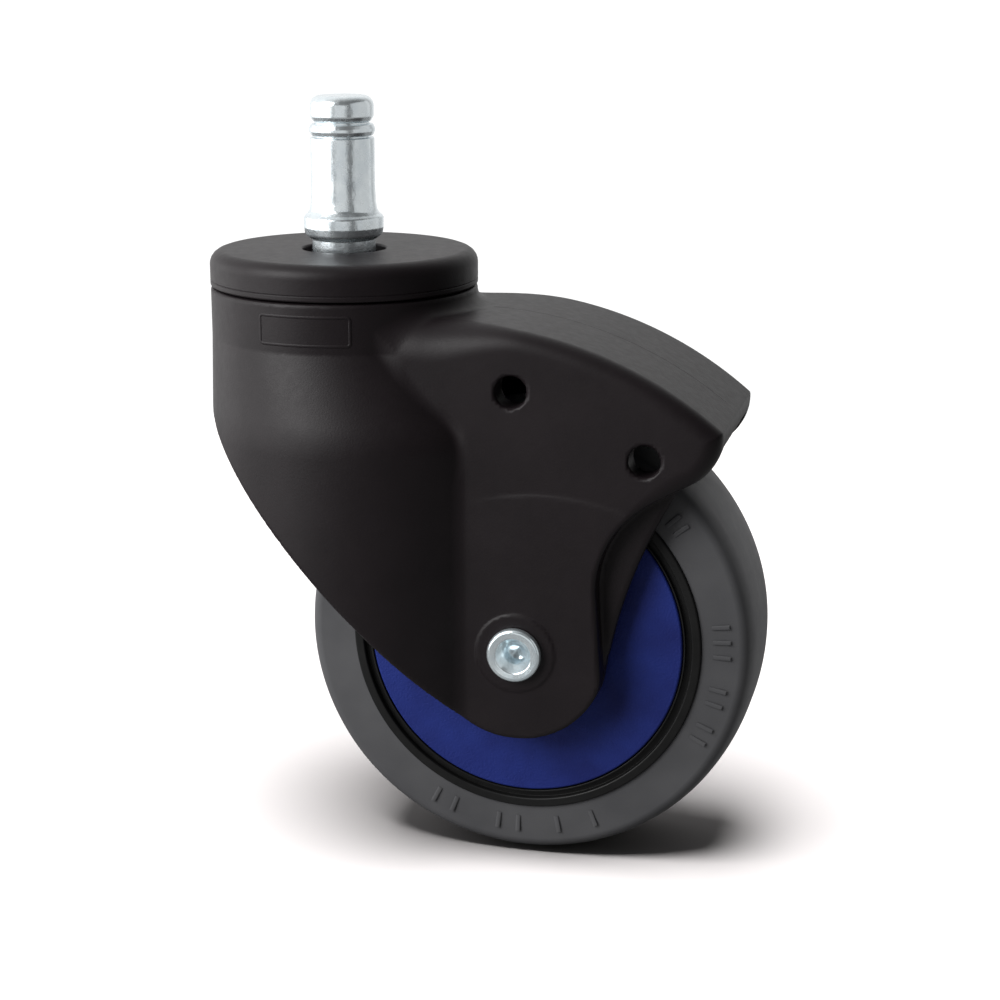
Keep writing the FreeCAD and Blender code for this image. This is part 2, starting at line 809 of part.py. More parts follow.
def make_axle_rivet():
    """The rivet that holds the wheel: a plain shank, both ends rolled out round a funnel."""
    body = new_body("axle_rivet")
    seat = "cheek_half_width + boss_height"
    end = "rivet_head_half_width"
    depth = f"{end} - rivet_bore_depth"
    half = [
        ("axle_radius", seat),
        ("rivet_head_radius", seat),
        ("rivet_head_radius", f"{end} - rivet_head_round"),
        ("rivet_head_radius - rivet_head_round", end, "rivet_head_round"),
        ("rivet_funnel_radius", f"{end} - rivet_dish"),
        ("rivet_bore_radius", f"{end} - rivet_funnel_depth"),
        ("rivet_bore_radius", depth),
        ("0", f"{depth} - rivet_point"),
    ]
    revolve(body, "profile", half + mirrored(half))
    return body


def make_axle_spacer():
    """The tube between the two inner races."""
    body = new_body("axle_spacer")
    revolve(body, "profile", ring_outline("axle_radius", "spacer_radius", "-wheel_bearing_in",
                                          "wheel_bearing_in"))
    return body


def make_side_spacer(name):
    """The washer between an inner race and its cheek."""
    body = new_body(f"side_spacer_{name}")
    revolve(body, "profile", ring_outline("axle_radius", "side_spacer_radius", WHEEL_BEARING_OUT,
                                          "slot_half_width"))
    return body


# ---------------------------------------------------------------------------------------------- wheel


def make_wheel_rim():
    """The black rim: hub, web and outer wall in one moulding, with ribs on both sides of the web."""
    body = new_body("wheel_rim")
    half = [
        ("hub_land_radius", "wheel_bearing_in"),
        ("wheel_outside", "wheel_bearing_in"),
        ("wheel_outside", "hub_half_width"),
        ("hub_radius", "hub_half_width"),
        ("hub_radius", "web_half_width"),
        ("rim_wall_radius - rim_wall", "web_half_width"),
        ("rim_wall_radius - rim_wall", "disc_half_width - disc_thickness"),
        ("rim_wall_radius", "disc_half_width - disc_thickness"),
        ("rim_wall_radius", "disc_half_width - rim_ridge_drop"),
        ("rim_wall_radius + rim_ridge", "disc_half_width - rim_ridge_drop"),
        ("rim_wall_radius + rim_ridge", "disc_half_width - rim_groove_depth"),
        ("rim_groove_radius", "disc_half_width - rim_groove_depth"),
        ("rim_groove_radius", "rim_lip_half_width - rim_chamfer"),
        ("rim_groove_radius + rim_chamfer", "rim_lip_half_width"),
        ("tyre_wall_radius - rim_chamfer", "rim_lip_half_width"),
        ("tyre_wall_radius", "rim_lip_half_width - rim_chamfer"),
        ("tyre_wall_radius", "tyre_key_half_width"),
        ("tyre_seat_radius", "tyre_seat_half_width"),
    ]
    revolve(body, "profile", half + mirrored(half))
    rib_outline = ring_outline("hub_radius - rib_overlap", "rim_wall_radius - rim_wall + rib_overlap",
                               "-rib_half_width", "rib_half_width")
    rib = pad(body, "rib", lambda s: draw_outline(s, rib_outline), "XZ_Plane", "rib_thickness",
              symmetric=True)
    repeat(body, rib, RIB_COUNT)
    return body


def make_tyre():
    """The grey tyre: a crowned tread, round shoulders and flat side walls moulded on the rim."""
    body = new_body("tyre")
    half = [
        ("tyre_seat_radius", "tyre_seat_half_width"),
        ("tyre_wall_radius", "tyre_key_half_width"),
        ("tyre_wall_radius", "tyre_wall_half_width"),
        ("tyre_shoulder_radius - tyre_shoulder_half", "tyre_half_width"),
        ("tyre_shoulder_radius + tyre_shoulder_half", "tread_half_flat + tyre_shoulder_drop",
         "-tyre_shoulder_round"),
        ("wheel_radius - tread_crown", "tread_half_flat"),
    ]
    other = mirrored(half)
    other[0] = (*other[0], "-(tread_half_flat * tread_half_flat / (2 * tread_crown) + tread_crown / 2)")
    revolve(body, "profile", half + other)
    return body


def make_cover_disc(name):
    """The coloured disc that closes one side of the wheel."""
    body = new_body(f"cover_disc_{name}")
    back = "disc_half_width - disc_thickness"
    revolve(body, "profile", [
        ("disc_hole_radius", back),
        ("disc_radius", back),
        ("disc_radius", "disc_half_width - disc_chamfer"),
        ("disc_radius - disc_chamfer", "disc_half_width"),
        ("disc_hole_radius", "disc_half_width"),
    ])
    return body


def make_all():
    """Every sub-part, each placed in the row frame."""
    upright = [
        make_stem(),
        make_grip_ring(),
        make_retaining_clip(),
        make_head_cap(),
        make_dust_seal(),
        make_swivel_bush(),
        make_fork_housing(),
    ]
    for item in upright:
        lower_to_frame(item)
    items = upright + make_swivel_bearing()
    centred = [make_axle_rivet(), make_axle_spacer(), make_wheel_rim(), make_tyre()]
    for item in centred:
        place_at_axle(item, 1)
    items += centred
    for name, side in (("left", -1), ("right", 1)):
        sided = [make_side_spacer(name), make_cover_disc(name)]
        for item in sided:
            place_at_axle(item, side)
        items += sided + make_wheel_bearing(name, side)
    return items


def check(items):
    """Stop if any feature failed or any sub-part isn't sound."""
    doc.recompute()
    bad = [o.Name for o in doc.Objects if {"Invalid", "Error"} & set(o.State)]
    bad += [i.Label for i in items if i.Shape.isNull() or not i.Shape.isValid() or i.Shape.Volume <= 0]
    if bad:
        raise RuntimeError(f"failed: {bad}")


def main():
    items = make_all()
    check(items)
    os.makedirs("parts", exist_ok=True)
    for item in items:
        item.Shape.exportStep(f"parts/{item.Label}.step")
        box = item.Shape.BoundBox
        print(f"{item.Label:26s} solids {len(item.Shape.Solids)}  volume {item.Shape.Volume:9.1f}"
              f"  x {box.XMin:7.2f} {box.XMax:7.2f}  y {box.YMin:7.2f} {box.YMax:7.2f}"
              f"  z {box.ZMin:8.2f} {box.ZMax:8.2f}")


main()
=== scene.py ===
import json
import math

import bpy
import numpy as np
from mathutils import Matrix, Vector


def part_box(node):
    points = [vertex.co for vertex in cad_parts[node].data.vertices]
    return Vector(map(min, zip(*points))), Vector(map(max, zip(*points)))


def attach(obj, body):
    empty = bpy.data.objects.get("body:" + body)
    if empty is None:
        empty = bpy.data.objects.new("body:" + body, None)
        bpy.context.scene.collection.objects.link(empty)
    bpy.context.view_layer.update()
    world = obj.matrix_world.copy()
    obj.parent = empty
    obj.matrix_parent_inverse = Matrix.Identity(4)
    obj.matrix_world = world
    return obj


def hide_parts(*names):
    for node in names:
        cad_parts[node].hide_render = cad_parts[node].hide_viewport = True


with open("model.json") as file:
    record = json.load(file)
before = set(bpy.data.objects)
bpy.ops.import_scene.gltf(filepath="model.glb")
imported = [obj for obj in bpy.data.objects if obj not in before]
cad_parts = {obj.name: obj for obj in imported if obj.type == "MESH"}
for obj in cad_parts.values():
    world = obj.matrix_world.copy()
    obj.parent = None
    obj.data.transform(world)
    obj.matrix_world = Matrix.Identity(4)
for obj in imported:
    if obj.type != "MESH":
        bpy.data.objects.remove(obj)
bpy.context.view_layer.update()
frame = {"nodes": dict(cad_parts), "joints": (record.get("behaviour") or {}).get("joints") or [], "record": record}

# The looks of an office-chair caster: a bright stem, a black plastic fork and a grey-tyred wheel with
# blue discs. Lengths are millimetres, and heights are measured up from the floor that the wheel rolls
# on. X runs from the swivel axis to the axle and Y along the axle, as in the frame. on_frame() turns
# such points into the frame's metres.

MM = 0.001
TINY = 1e-6


def corner(node, side):
    """A CAD node's lowest (side 0) or highest (side 1) corner, in millimetres above the floor."""
    return Vector(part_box(node)[side]) / MM + Vector((0, 0, FLOOR_DROP))


# --------------------------------------------------------------------------- sizes read from the frame

FLOOR_DROP = 111.6
WHEEL_JOINT = next(joint for joint in frame["joints"] if joint["name"] == "wheel_spin")
AXLE_X = WHEEL_JOINT["pos_m"][0] / MM
WHEEL_RADIUS = WHEEL_JOINT["pos_m"][2] / MM + FLOOR_DROP
AXLE = np.array([AXLE_X, WHEEL_RADIUS])
RIVET_END = corner("axle_rivet", 1).y
SEAM = corner("fork_housing", 1).z
BULGE_RADIUS = corner("fork_housing", 1).y
HEAD_RADIUS = -corner("fork_housing", 0).x
CAP_TOP = corner("head_cap", 1).z
CAP_RADIUS = corner("head_cap", 1).y
DISC_RADIUS = corner("cover_disc_left", 1).x - AXLE_X
DISC_FACE = corner("cover_disc_right", 1).y
DISC_BACK = corner("cover_disc_right", 0).y
RIM_LIP_RADIUS = corner("wheel_rim", 1).x - AXLE_X
RIM_LIP_FACE = corner("wheel_rim", 1).y
BEARING_LOW = corner("swivel_outer_race", 0).z
BEARING_HIGH = corner("swivel_outer_race", 1).z
BEARING_RADIUS = corner("swivel_outer_race", 1).y
WHEEL_BEARING_IN = corner("wheel_outer_race_right", 0).y
WHEEL_BEARING_OUT = corner("wheel_outer_race_right", 1).y
WHEEL_BEARING_RADIUS = corner("wheel_outer_race_right", 1).x - AXLE_X
STEM_TOP = corner("stem", 1).z
STEM_LOW = corner("stem", 0).z
RING_LOW = corner("grip_ring", 0).z
RING_HIGH = corner("grip_ring", 1).z
RING_RADIUS = corner("grip_ring", 1).y

# ---------------------------------------------------------------------------- stem, cap and rivet sizes

TAIL_RADIUS = 4.5
TAIL_TOP = 83.4
SEAT_RADIUS = 6.0
SHOULDER_RADIUS = 7.0
SHOULDER_TOP = 98.2
NECK_RADIUS = 5.5
COLLAR_RADIUS = 6.95
COLLAR_LOW = 106.9
COLLAR_HIGH = 111.2
BARREL_RADIUS = 5.55
GROOVE_RADIUS = 4.7
GROOVE_PLAY = 0.35
RING_BORE = 4.75
RING_EDGE = 5.35
RING_BEVEL = 0.75
RING_GAP_AT = 90
RING_GAP = 18
CAP_HOLE = 7.3
CAP_CEILING = 101.6
CAP_PLAY = 0.25
CAP_GROOVE_UP = 1.0
CAP_GROOVE_HALF = 0.15
CAP_GROOVE_DEPTH = 0.12
SPIGOT_OUT = 15.9
SPIGOT_IN = 13.6
RIVET_SEAT = 20.35
RIVET_HEAD = 4.65
RIVET_LIP = 3.1
FUNNEL_RADIUS = 1.9
FUNNEL_FOOT = 1.9
FUNNEL_LOW = 4.5
FUNNEL_TIP = 5.6

# ------------------------------------------------------------------------------------------ wheel sizes

# The tyre's seat on the rim: flat out to SEAT_FLAT from the wheel's middle, and up to the rim's lip at
# SEAT_TOP.
TYRE_BORE = 29.4
SEAT_FLAT = 8.8
SEAT_TOP = 9.8
RIM_LIP_IN = 29.1
TYRE_FACE = 12.4
HUB_RADIUS = 14.0
HUB_BORE = 9.5
WEB_HALF = 2.0
DISC_HOLE = 6.7
DISC_LEDGE = 2.5
DISC_PLAY = 0.2
DISC_PROUD = 0.1
RIM_BEAD = 0.5
RIM_GROOVE = 1.0
WHEEL_SEGMENTS = 256
MARK_IN, MARK_OUT = 32.7, 35.7
MARK_WIDTH = 0.8
MARK_RELIEF = 0.09
MARK_POINTS = 6
# Painted light: how far in from the tread the tyre's colour starts to turn paler, and where it is palest.
TREAD_LIGHT_STARTS = 1.6
TREAD_LIGHT_FULL = 0.4
# Each group of marks: the first one's angle, how many there are and the angle from each to the next.
MARK_GROUPS = (
    (8.0, 3, -4.5),
    (-11.0, 2, -4.5),
    (-23.0, 2, -4.5),
    (38.5, 2, 3.5),
    (-118.0, 2, 6.0),
    (-98.0, 2, 6.0),
    (-80.0, 2, 11.0),
)
RIB_COUNT = 8
RIB_HALF_WIDTH = 8
RIB_HALF_THICKNESS = 0.8
RIB_FOOT = 13.5
RIB_SHORT = 2

# ------------------------------------------------------------------------------------ fork's own sizes

CELL = 0.61
CHEEK_HALF = 20.0
SKIRT_HALF = 16.6
SLOT_HALF = 14.6
CHEEK_END = 15.5
CHEEK_REAR_ANGLE = math.radians(-17.7)
CUT_ANGLE = math.radians(46.3)
FLARE_HIGH = 90.5
FLARE_LOW = 78.0
FLARE_FOOT = 76.6
WALL = 3.0
CORE_HIGH = 73.0
SLOT_RADIUS = 43.5
BAY_RADIUS = 49.2
BAY_ANGLE = math.radians(100.0)
LIP_UNDER = FLARE_LOW - 2.2
HOOD_CENTRE = (24.5, 25.9)
HOOD_RADIUS = 70.0
HOOD_END = 40.1
CHEEK_FRONT = 22
HOOD_EDGE_FRONT = 6.5
HOOD_EDGE_LOSS = 3.4
HOOD_EDGE_LOSES = (20, 37)
BEAK_EDGE = 0.8
BEAK_EDGE_ENDS = (64, 73)
HOLES = ((34.6, 85.1), (57.1, 74.6))
HOLE_RADIUS = 2.7
HOLE_EDGE = 0.35
AXLE_HOLE = 4.0
SLOT_FRONT = 24
CREASE_CENTRE = (40, 25.75)
CREASE_INSIDE = 41.8
CREASE_OUTSIDE = 42.5
CREASE_HEIGHT = 0.15
CREASE_FADES_ALONG = (26, 38)
CREASE_FADES_UP = (50, 64)
BUSH = corner("swivel_bush", 1)
BUSH_FLANGE = 0.7
BUSH_SEAT = 6.5
RELIEF_RADIUS = 12.0
# The stepped bore inside the head: each step's radius and how low it goes.
SEATS = (
    (BEARING_RADIUS, BEARING_LOW),
    (RELIEF_RADIUS, TAIL_TOP),
    (BUSH.y, BUSH.z - BUSH_FLANGE),
    (BUSH_SEAT, corner("swivel_bush", 0).z),
)
BOSS_RADIUS = 6.9
BOSS_HEIGHT = 0.2
BOSS_INSIDE = 15
BADGE_HALF_WIDTH, BADGE_HALF_HEIGHT = 8.0, 2.4
BADGE_MIDDLE = 94.3
BADGE_CORNER = 0.5
BADGE_STEP = 0.5
BADGE_LINE_WIDTH = 0.55
BADGE_RELIEF = 0.13
PARTING_FROM, PARTING_TO = 88, 52
PARTING_POINTS = 60
PARTING_WIDTH = 0.4
PARTING_RELIEF = 0.04
RELIEF_SUNK = 0.03
LINE_SUNK = 0.02

# How far the fork's edges are rounded, and its inner corners filled.
FLARE_BLEND = 0.2
HEAD_EDGE = 0.6
CORE_EDGE = 1.0
CORE_RIM = 0.5
LINER_EDGE = 1.5
WALL_FILLET = 0.8
SKIRT_EDGE = 0.8
SKIRT_FILLET = 0.5
BOSS_EDGE = 0.25
BOSS_FILLET = 0.2
CHEEK_FILLET = 1.0
CHEEK_FILLET_GAIN = 1.2
CHEEK_FILLET_GAINS = (84, 94)
FOOT_EDGE = 0.6
SLOT_EDGE = 1.0
SLOT_RIM = 0.6
SEAT_RIM = 0.1


def on_frame(points):
    """Millimetre points above the floor, as metres in the frame."""
    return (np.asarray(points, float) - (0, 0, FLOOR_DROP)) * MM


# ------------------------------------------------------------------------------------------- materials


def plain_material(name, rough, metal=0.0, specular=0.5):
    """A node material and its shader, with the values that are the same all over set on the shader."""
    material = bpy.data.materials.new(name)
    material.use_nodes = True
    shader = material.node_tree.nodes["Principled BSDF"]
    shader.inputs["Roughness"].default_value = rough
    shader.inputs["Metallic"].default_value = metal
    shader.inputs["Specular IOR Level"].default_value = specular
    return material, shader


def noise(material, size, detail=3.0, stretch=(1, 1, 1), seed=0.0):
    """A noise pattern fixed to the piece, with blobs of about that size in millimetres."""
    nodes, links = material.node_tree.nodes, material.node_tree.links
    where = nodes.new("ShaderNodeTexCoord")
    mapping = nodes.new("ShaderNodeMapping")
    mapping.inputs["Scale"].default_value = [s / (size * MM) for s in stretch]
    mapping.inputs["Location"].default_value = (seed, seed, seed)
    pattern = nodes.new("ShaderNodeTexNoise")
    pattern.inputs["Scale"].default_value = 1.0
    pattern.inputs["Detail"].default_value = detail
    links.new(where.outputs["Object"], mapping.inputs["Vector"])
    links.new(mapping.outputs["Vector"], pattern.inputs["Vector"])
    return pattern.outputs["Fac"]


def spread(material, pattern, low, high, from_low=0.3, from_high=0.7):
    """A pattern stretched over a range of numbers."""
    node = material.node_tree.nodes.new("ShaderNodeMapRange")
    node.inputs["From Min"].default_value = from_low
    node.inputs["From Max"].default_value = from_high
    node.inputs["To Min"].default_value = low
    node.inputs["To Max"].default_value = high
    material.node_tree.links.new(pattern, node.inputs["Value"])
    return node.outputs["Result"]


def tint(material, pattern, dark, light):
    """A pattern turned into a mix of two colours."""
    node = material.node_tree.nodes.new("ShaderNodeMix")
    node.data_type = "RGBA"
    node.inputs["A"].default_value = (*dark, 1)
    node.inputs["B"].default_value = (*light, 1)
    material.node_tree.links.new(pattern, node.inputs["Factor"])
    return node.outputs["Result"]


def bump(material, pattern, depth, under=None):
    """A pattern as relief of that depth in millimetres, over another relief."""
    node = material.node_tree.nodes.new("ShaderNodeBump")
    node.inputs["Strength"].default_value = 1.0
    node.inputs["Distance"].default_value = depth * MM
    material.node_tree.links.new(pattern, node.inputs["Height"])
    if under is not None:
        material.node_tree.links.new(under, node.inputs["Normal"])
    return node.outputs["Normal"]


# Sizes of the noise in the materials: flow marks in the colour, patches of gloss, slow waves in a
# moulded surface, the fine lines of turning or drawing, and small dents.
FLOW_SIZE = 9.0
GLOSS_SIZE = 1.4
WAVE_SIZE = 6.0
LINE_SIZE = 1.0
DENT_SIZE = 1.4


def moulded(name, dark, light, rough, specular, grain, depth, sink=0.02):
    """Moulded plastic or rubber: fine grain, faint flow marks in its colour, and uneven gloss.

    grain is its size and depth its relief. sink is how deep the surface's slow waves are."""
    material, shader = plain_material(name, sum(rough) / 2, specular=specular)
    link = material.node_tree.links.new
    flow = spread(material, noise(material, FLOW_SIZE, 2.0), 0, 1)
    link(tint(material, flow, dark, light), shader.inputs["Base Color"])
    gloss = spread(material, noise(material, GLOSS_SIZE, 4.0, seed=3.0), *rough)
    link(gloss, shader.inputs["Roughness"])
    relief = bump(material, noise(material, grain, 2.0, seed=7.0), depth)
    relief = bump(material, noise(material, WAVE_SIZE, 1.0, seed=1.0), sink, relief)
    link(relief, shader.inputs["Normal"])
    return material


def metal(name, dark, light, rough, blotch, lines, bare=1.0, dents=0.01):
    """Metal: blotches in its colour and gloss, and fine lines left by turning or drawing.

    blotch is their size, and lines and dents are depths. The less bare the metal is, the more its
    plating scatters light as a pale powder would."""
    material, shader = plain_material(name, sum(rough) / 2, metal=bare)
    link = material.node_tree.links.new
    blotches = noise(material, blotch, 3.0)
    link(tint(material, spread(material, blotches, 0, 1), dark, light), shader.inputs["Base Color"])
    link(spread(material, noise(material, blotch / 2, 4.0, seed=5.0), *rough), shader.inputs["Roughness"])
    fine = noise(material, LINE_SIZE, 2.0, stretch=(0.12, 0.12, 6.0), seed=2.0)
    relief = bump(material, fine, lines)
    dented = noise(material, DENT_SIZE, 4.0, stretch=(1, 1, 0.6), seed=4.0)
    relief = bump(material, dented, dents, relief)
    link(relief, shader.inputs["Normal"])
    return material


def painted_tread_light(material, pale):
    """Painted light: the tread painted paler by its distance from the axle, standing in for the light it catches
    from behind and the right.
    """
    nodes, links = material.node_tree.nodes, material.node_tree.links
    shader = nodes["Principled BSDF"]
    unlit_colour = shader.inputs["Base Color"].links[0].from_socket
    where = nodes.new("ShaderNodeTexCoord")
    from_axle = nodes.new("ShaderNodeVectorMath")
    from_axle.operation = "MULTIPLY_ADD"
    from_axle.inputs[1].default_value = (1, 0, 1)
    from_axle.inputs[2].default_value = (-AXLE_X * MM, 0, (FLOOR_DROP - WHEEL_RADIUS) * MM)
    reach = nodes.new("ShaderNodeVectorMath")
    reach.operation = "LENGTH"
    links.new(where.outputs["Object"], from_axle.inputs[0])
    links.new(from_axle.outputs["Vector"], reach.inputs[0])
    unlit_to, lit_from = (WHEEL_RADIUS - TREAD_LIGHT_STARTS) * MM, (WHEEL_RADIUS - TREAD_LIGHT_FULL) * MM
    tread_lit = spread(material, reach.outputs["Value"], 0, 1, unlit_to, lit_from)
    mix = nodes.new("ShaderNodeMix")
    mix.data_type = "RGBA"
    mix.inputs["B"].default_value = (*pale, 1)
    links.new(tread_lit, mix.inputs["Factor"])
    links.new(unlit_colour, mix.inputs["A"])
    links.new(mix.outputs["Result"], shader.inputs["Base Color"])


MATERIALS = {
    "zinc_plated_steel": metal(
        "bright_zinc",
        dark=(0.75, 0.82, 0.86),
        light=(0.90, 0.96, 0.98),
        rough=(0.20, 0.30),
        blotch=3.0,
        lines=0.006,
        bare=0.88,
        dents=0.075,
    ),
    "spring_steel": metal(
        "spring_steel",
        dark=(0.22, 0.22, 0.23),
        light=(0.34, 0.34, 0.35),
        rough=(0.25, 0.4),
        blotch=2.0,
        lines=0.003,
    ),
    "bearing_steel": metal(
        "ground_steel",
        dark=(0.60, 0.60, 0.61),
        light=(0.74, 0.74, 0.75),
        rough=(0.18, 0.3),
        blotch=2.5,
        lines=0.002,
    ),
    "cage_nylon": moulded(
        "natural_nylon",
        dark=(0.60, 0.56, 0.46),
        light=(0.72, 0.69, 0.60),
        rough=(0.45, 0.6),
        specular=0.4,
        grain=0.3,
        depth=0.01,
    ),
    "housing_plastic": moulded(
        "grained_black_nylon",
        dark=(0.0090, 0.0060, 0.0073),
        light=(0.0124, 0.0086, 0.0102),
        rough=(0.45, 0.5),
        specular=0.3,
        grain=0.35,
        depth=0.02,
        sink=0.006,
    ),
    "seal_rubber": moulded(
        "seal_rubber",
        dark=(0.008, 0.008, 0.008),
        light=(0.013, 0.013, 0.013),
        rough=(0.6, 0.75),
        specular=0.3,
        grain=0.3,
        depth=0.01,
    ),
    "rim_plastic": moulded(
        "black_rim",
        dark=(0.006, 0.006, 0.006),
        light=(0.010, 0.010, 0.010),
        rough=(0.38, 0.5),
        specular=0.3,
        grain=0.3,
        depth=0.008,
    ),
    "disc_plastic": moulded(
        "matt_blue_plastic",
        dark=(0.0100, 0.019, 0.150),
        light=(0.016, 0.033, 0.225),
        rough=(0.5, 0.62),
        specular=0.25,
        grain=0.35,
        depth=0.09,
    ),
    "tyre_rubber": moulded(
        "grey_rubber",
        dark=(0.086, 0.086, 0.091),
        light=(0.106, 0.106, 0.111),
        rough=(0.5, 0.62),
        specular=0.3,
        grain=0.4,
        depth=0.01,
    ),
}

# Painted light: the tyre's tread is painted paler to stand in for light from behind and the right.
painted_tread_light(MATERIALS["tyre_rubber"], pale=(0.25, 0.25, 0.26))

# The rivet's plating is glossier than the stem's, where the ends are rolled.
ROLLED_ZINC = metal(
    "rolled_zinc",
    dark=(0.72, 0.82, 0.87),
    light=(0.90, 0.97, 0.99),
    rough=(0.14, 0.22),
    blotch=3.0,
    lines=0.006,
    bare=0.75,
)

# ------------------------------------------------------------------------------------------ mesh tools


def new_piece(name, points, faces, normals, body, slot, *replaced):
    """A smooth mesh piece with its own exact normals, riding on a body and standing for CAD nodes."""
    mesh = bpy.data.meshes.new(name)
    mesh.from_pydata(on_frame(points).tolist(), [], faces)
    mesh.validate()
    mesh.polygons.foreach_set("use_smooth", [True] * len(mesh.polygons))
    if normals is not None:
        mesh.normals_split_custom_set_from_vertices(np.asarray(normals).tolist())
    piece = bpy.data.objects.new(name, mesh)
    bpy.context.scene.collection.objects.link(piece)
    mesh.materials.append(MATERIALS[slot])
    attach(piece, body)
    if replaced:
        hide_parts(*replaced)
    return piece


# A corner this close to straight, in radians, isn't rounded. An arc takes up less than half of each of
# its two sides, so that neighbours never meet.
STRAIGHT = 0.001
SIDE_SHARE = 0.49


def round_corners(corners, steps=6):
    """A closed outline of (radius, height, edge round) turned into points and their outward normals.

    The outline runs with its solid on the left. Every corner becomes an arc of its own radius."""
    points, normals = [], []
    count = len(corners)
    for i, (r, h, fillet) in enumerate(corners):
        here = np.array([r, h])
        back = np.array(corners[i - 1][:2]) - here
        ahead = np.array(corners[(i + 1) % count][:2]) - here
        reach_back, reach_ahead = np.linalg.norm(back), np.linalg.norm(ahead)
        back, ahead = back / reach_back, ahead / reach_ahead
        before, after = np.array([-back[1], back[0]]), np.array([ahead[1], -ahead[0]])
        half = math.acos(np.clip(back @ ahead, -1, 1)) / 2
        if math.pi / 2 - half < STRAIGHT:
            points.append(here)
            normals.append(after)
            continue
        length = min(fillet / math.tan(half), SIDE_SHARE * reach_back, SIDE_SHARE * reach_ahead)
        radius = length * math.tan(half)
        middle = (back + ahead) / np.linalg.norm(back + ahead)
        centre = here + middle * radius / math.sin(half)
        side = math.copysign(1, before @ ahead * -1)
        for k in range(steps + 1):
            t = k / steps
            normal = before * (1 - t) + after * t
            normal /= np.linalg.norm(normal)
            points.append(centre + side * radius * normal)
            normals.append(normal)
    return np.array(points), np.array(normals)


def turned(name, corners, body, slot, *replaced, wheel=False, sweep=360, start=0, segments=192):
    """A turned piece from a half section of (radius, distance along the axis, edge round).

    It is about the swivel axis, or about the axle if wheel is set. A sweep under 360 degrees leaves a
    gap, closed at both ends."""
    outline, slopes = round_corners(corners)
    full = sweep == 360
    turns = segments if full else segments + 1
    angles = np.radians(start + np.arange(turns) * sweep / segments)
    spin = np.stack([np.cos(angles), np.sin(angles)], 1)
    count = len(outline)

    def placed(pairs, origin):
        """Each (radius, distance) pair at each angle, as points in space."""
        out = np.zeros((turns, count, 3))
        out[:, :, 0] = spin[:, :1] * pairs[:, 0] + origin[0]
        if wheel:
            out[:, :, 1] = pairs[:, 1]
            out[:, :, 2] = origin[1] - spin[:, 1:] * pairs[:, 0]
        else:
            out[:, :, 1] = spin[:, 1:] * pairs[:, 0]
            out[:, :, 2] = pairs[:, 1] + origin[1]
        return out.reshape(-1, 3)

    points = placed(outline, AXLE if wheel else (0, 0))
    normals = placed(slopes, (0, 0))
    faces = []
    for a in range(segments):
        b = (a + 1) % turns
        for i in range(count):
            j = (i + 1) % count
            if outline[i][0] < TINY and outline[j][0] < TINY:
                continue
            quad = [a * count + i, a * count + j, b * count + j, b * count + i]
            if outline[i][0] < TINY:
                quad = quad[:3]
            elif outline[j][0] < TINY:
                quad = [quad[0], quad[1], quad[3]]
            faces.append(quad[::-1])
    if not full:
        faces.append(list(range(count)))
        faces.append([segments * count + i for i in reversed(range(count))])
    return new_piece(name, points, faces, normals, body, slot, *replaced)


def ridges(name, paths, width, height, body, slot):
    """Low rounded ridges along paths on a surface. A path is its points, the surface's normals there
    and whether it closes on itself."""
    steps = 6
    angles = np.linspace(0, math.pi, steps + 1)
    points, normals, faces = [], [], []
    for path, up, closed in paths:
        ahead = np.roll(path, -1, 0) - np.roll(path, 1, 0)
        if not closed:
            ahead[0], ahead[-1] = path[1] - path[0], path[-1] - path[-2]
        aside = np.cross(ahead, up)
        aside /= np.linalg.norm(aside, axis=1, keepdims=True)
        first, count = len(points) * (steps + 1), len(path)
        for place, side, top in zip(path, aside, up):
            half, rise = side * width / 2, top * height
            points.append([place + half * math.cos(a) + rise * math.sin(a) for a in angles])
            normals.append([side * height * math.cos(a) + top * width / 2 * math.sin(a) for a in angles])
        for i in range(count if closed else count - 1):
            a, b = first + i * (steps + 1), first + (i + 1) % count * (steps + 1)
            faces += [(a + k, b + k, b + k + 1, a + k + 1) for k in range(steps)]
    points, normals = np.reshape(points, (-1, 3)), np.reshape(normals, (-1, 3))
    normals /= np.linalg.norm(normals, axis=1, keepdims=True)
    return new_piece(name, points, faces, normals, body, slot)


# ---------------------------------------------------------------------------------- distances to solids


def smooth_step(low, high, at):
    """0 below low, 1 above high and a smooth slope between."""
    t = np.clip((at - low) / (high - low), 0, 1)
    return t * t * (3 - 2 * t)


def join(a, b, fillet):
    """The distance to two solids together, with the inner corner between them filled."""
    u, v = np.maximum(fillet - a, 0), np.maximum(fillet - b, 0)
    return np.maximum(fillet, np.minimum(a, b)) - np.hypot(u, v)


def overlap(a, b, edge):
    """The distance to what two solids share, with the edge between them rounded."""
    u, v = np.maximum(edge + a, 0), np.maximum(edge + b, 0)
    return np.minimum(-edge, np.maximum(a, b)) + np.hypot(u, v)


def soft_least(a, b, reach):
    """The lesser of two numbers, blended where they are within reach of each other."""
    near = np.maximum(reach - np.abs(a - b), 0)
    return np.minimum(a, b) - near * near / (4 * reach)


def cut(a, b, edge):
    """The distance to solid a without solid b, with the rim of the cut rounded."""
    return overlap(a, -b, edge)


ARC_STEP = math.radians(1.25)


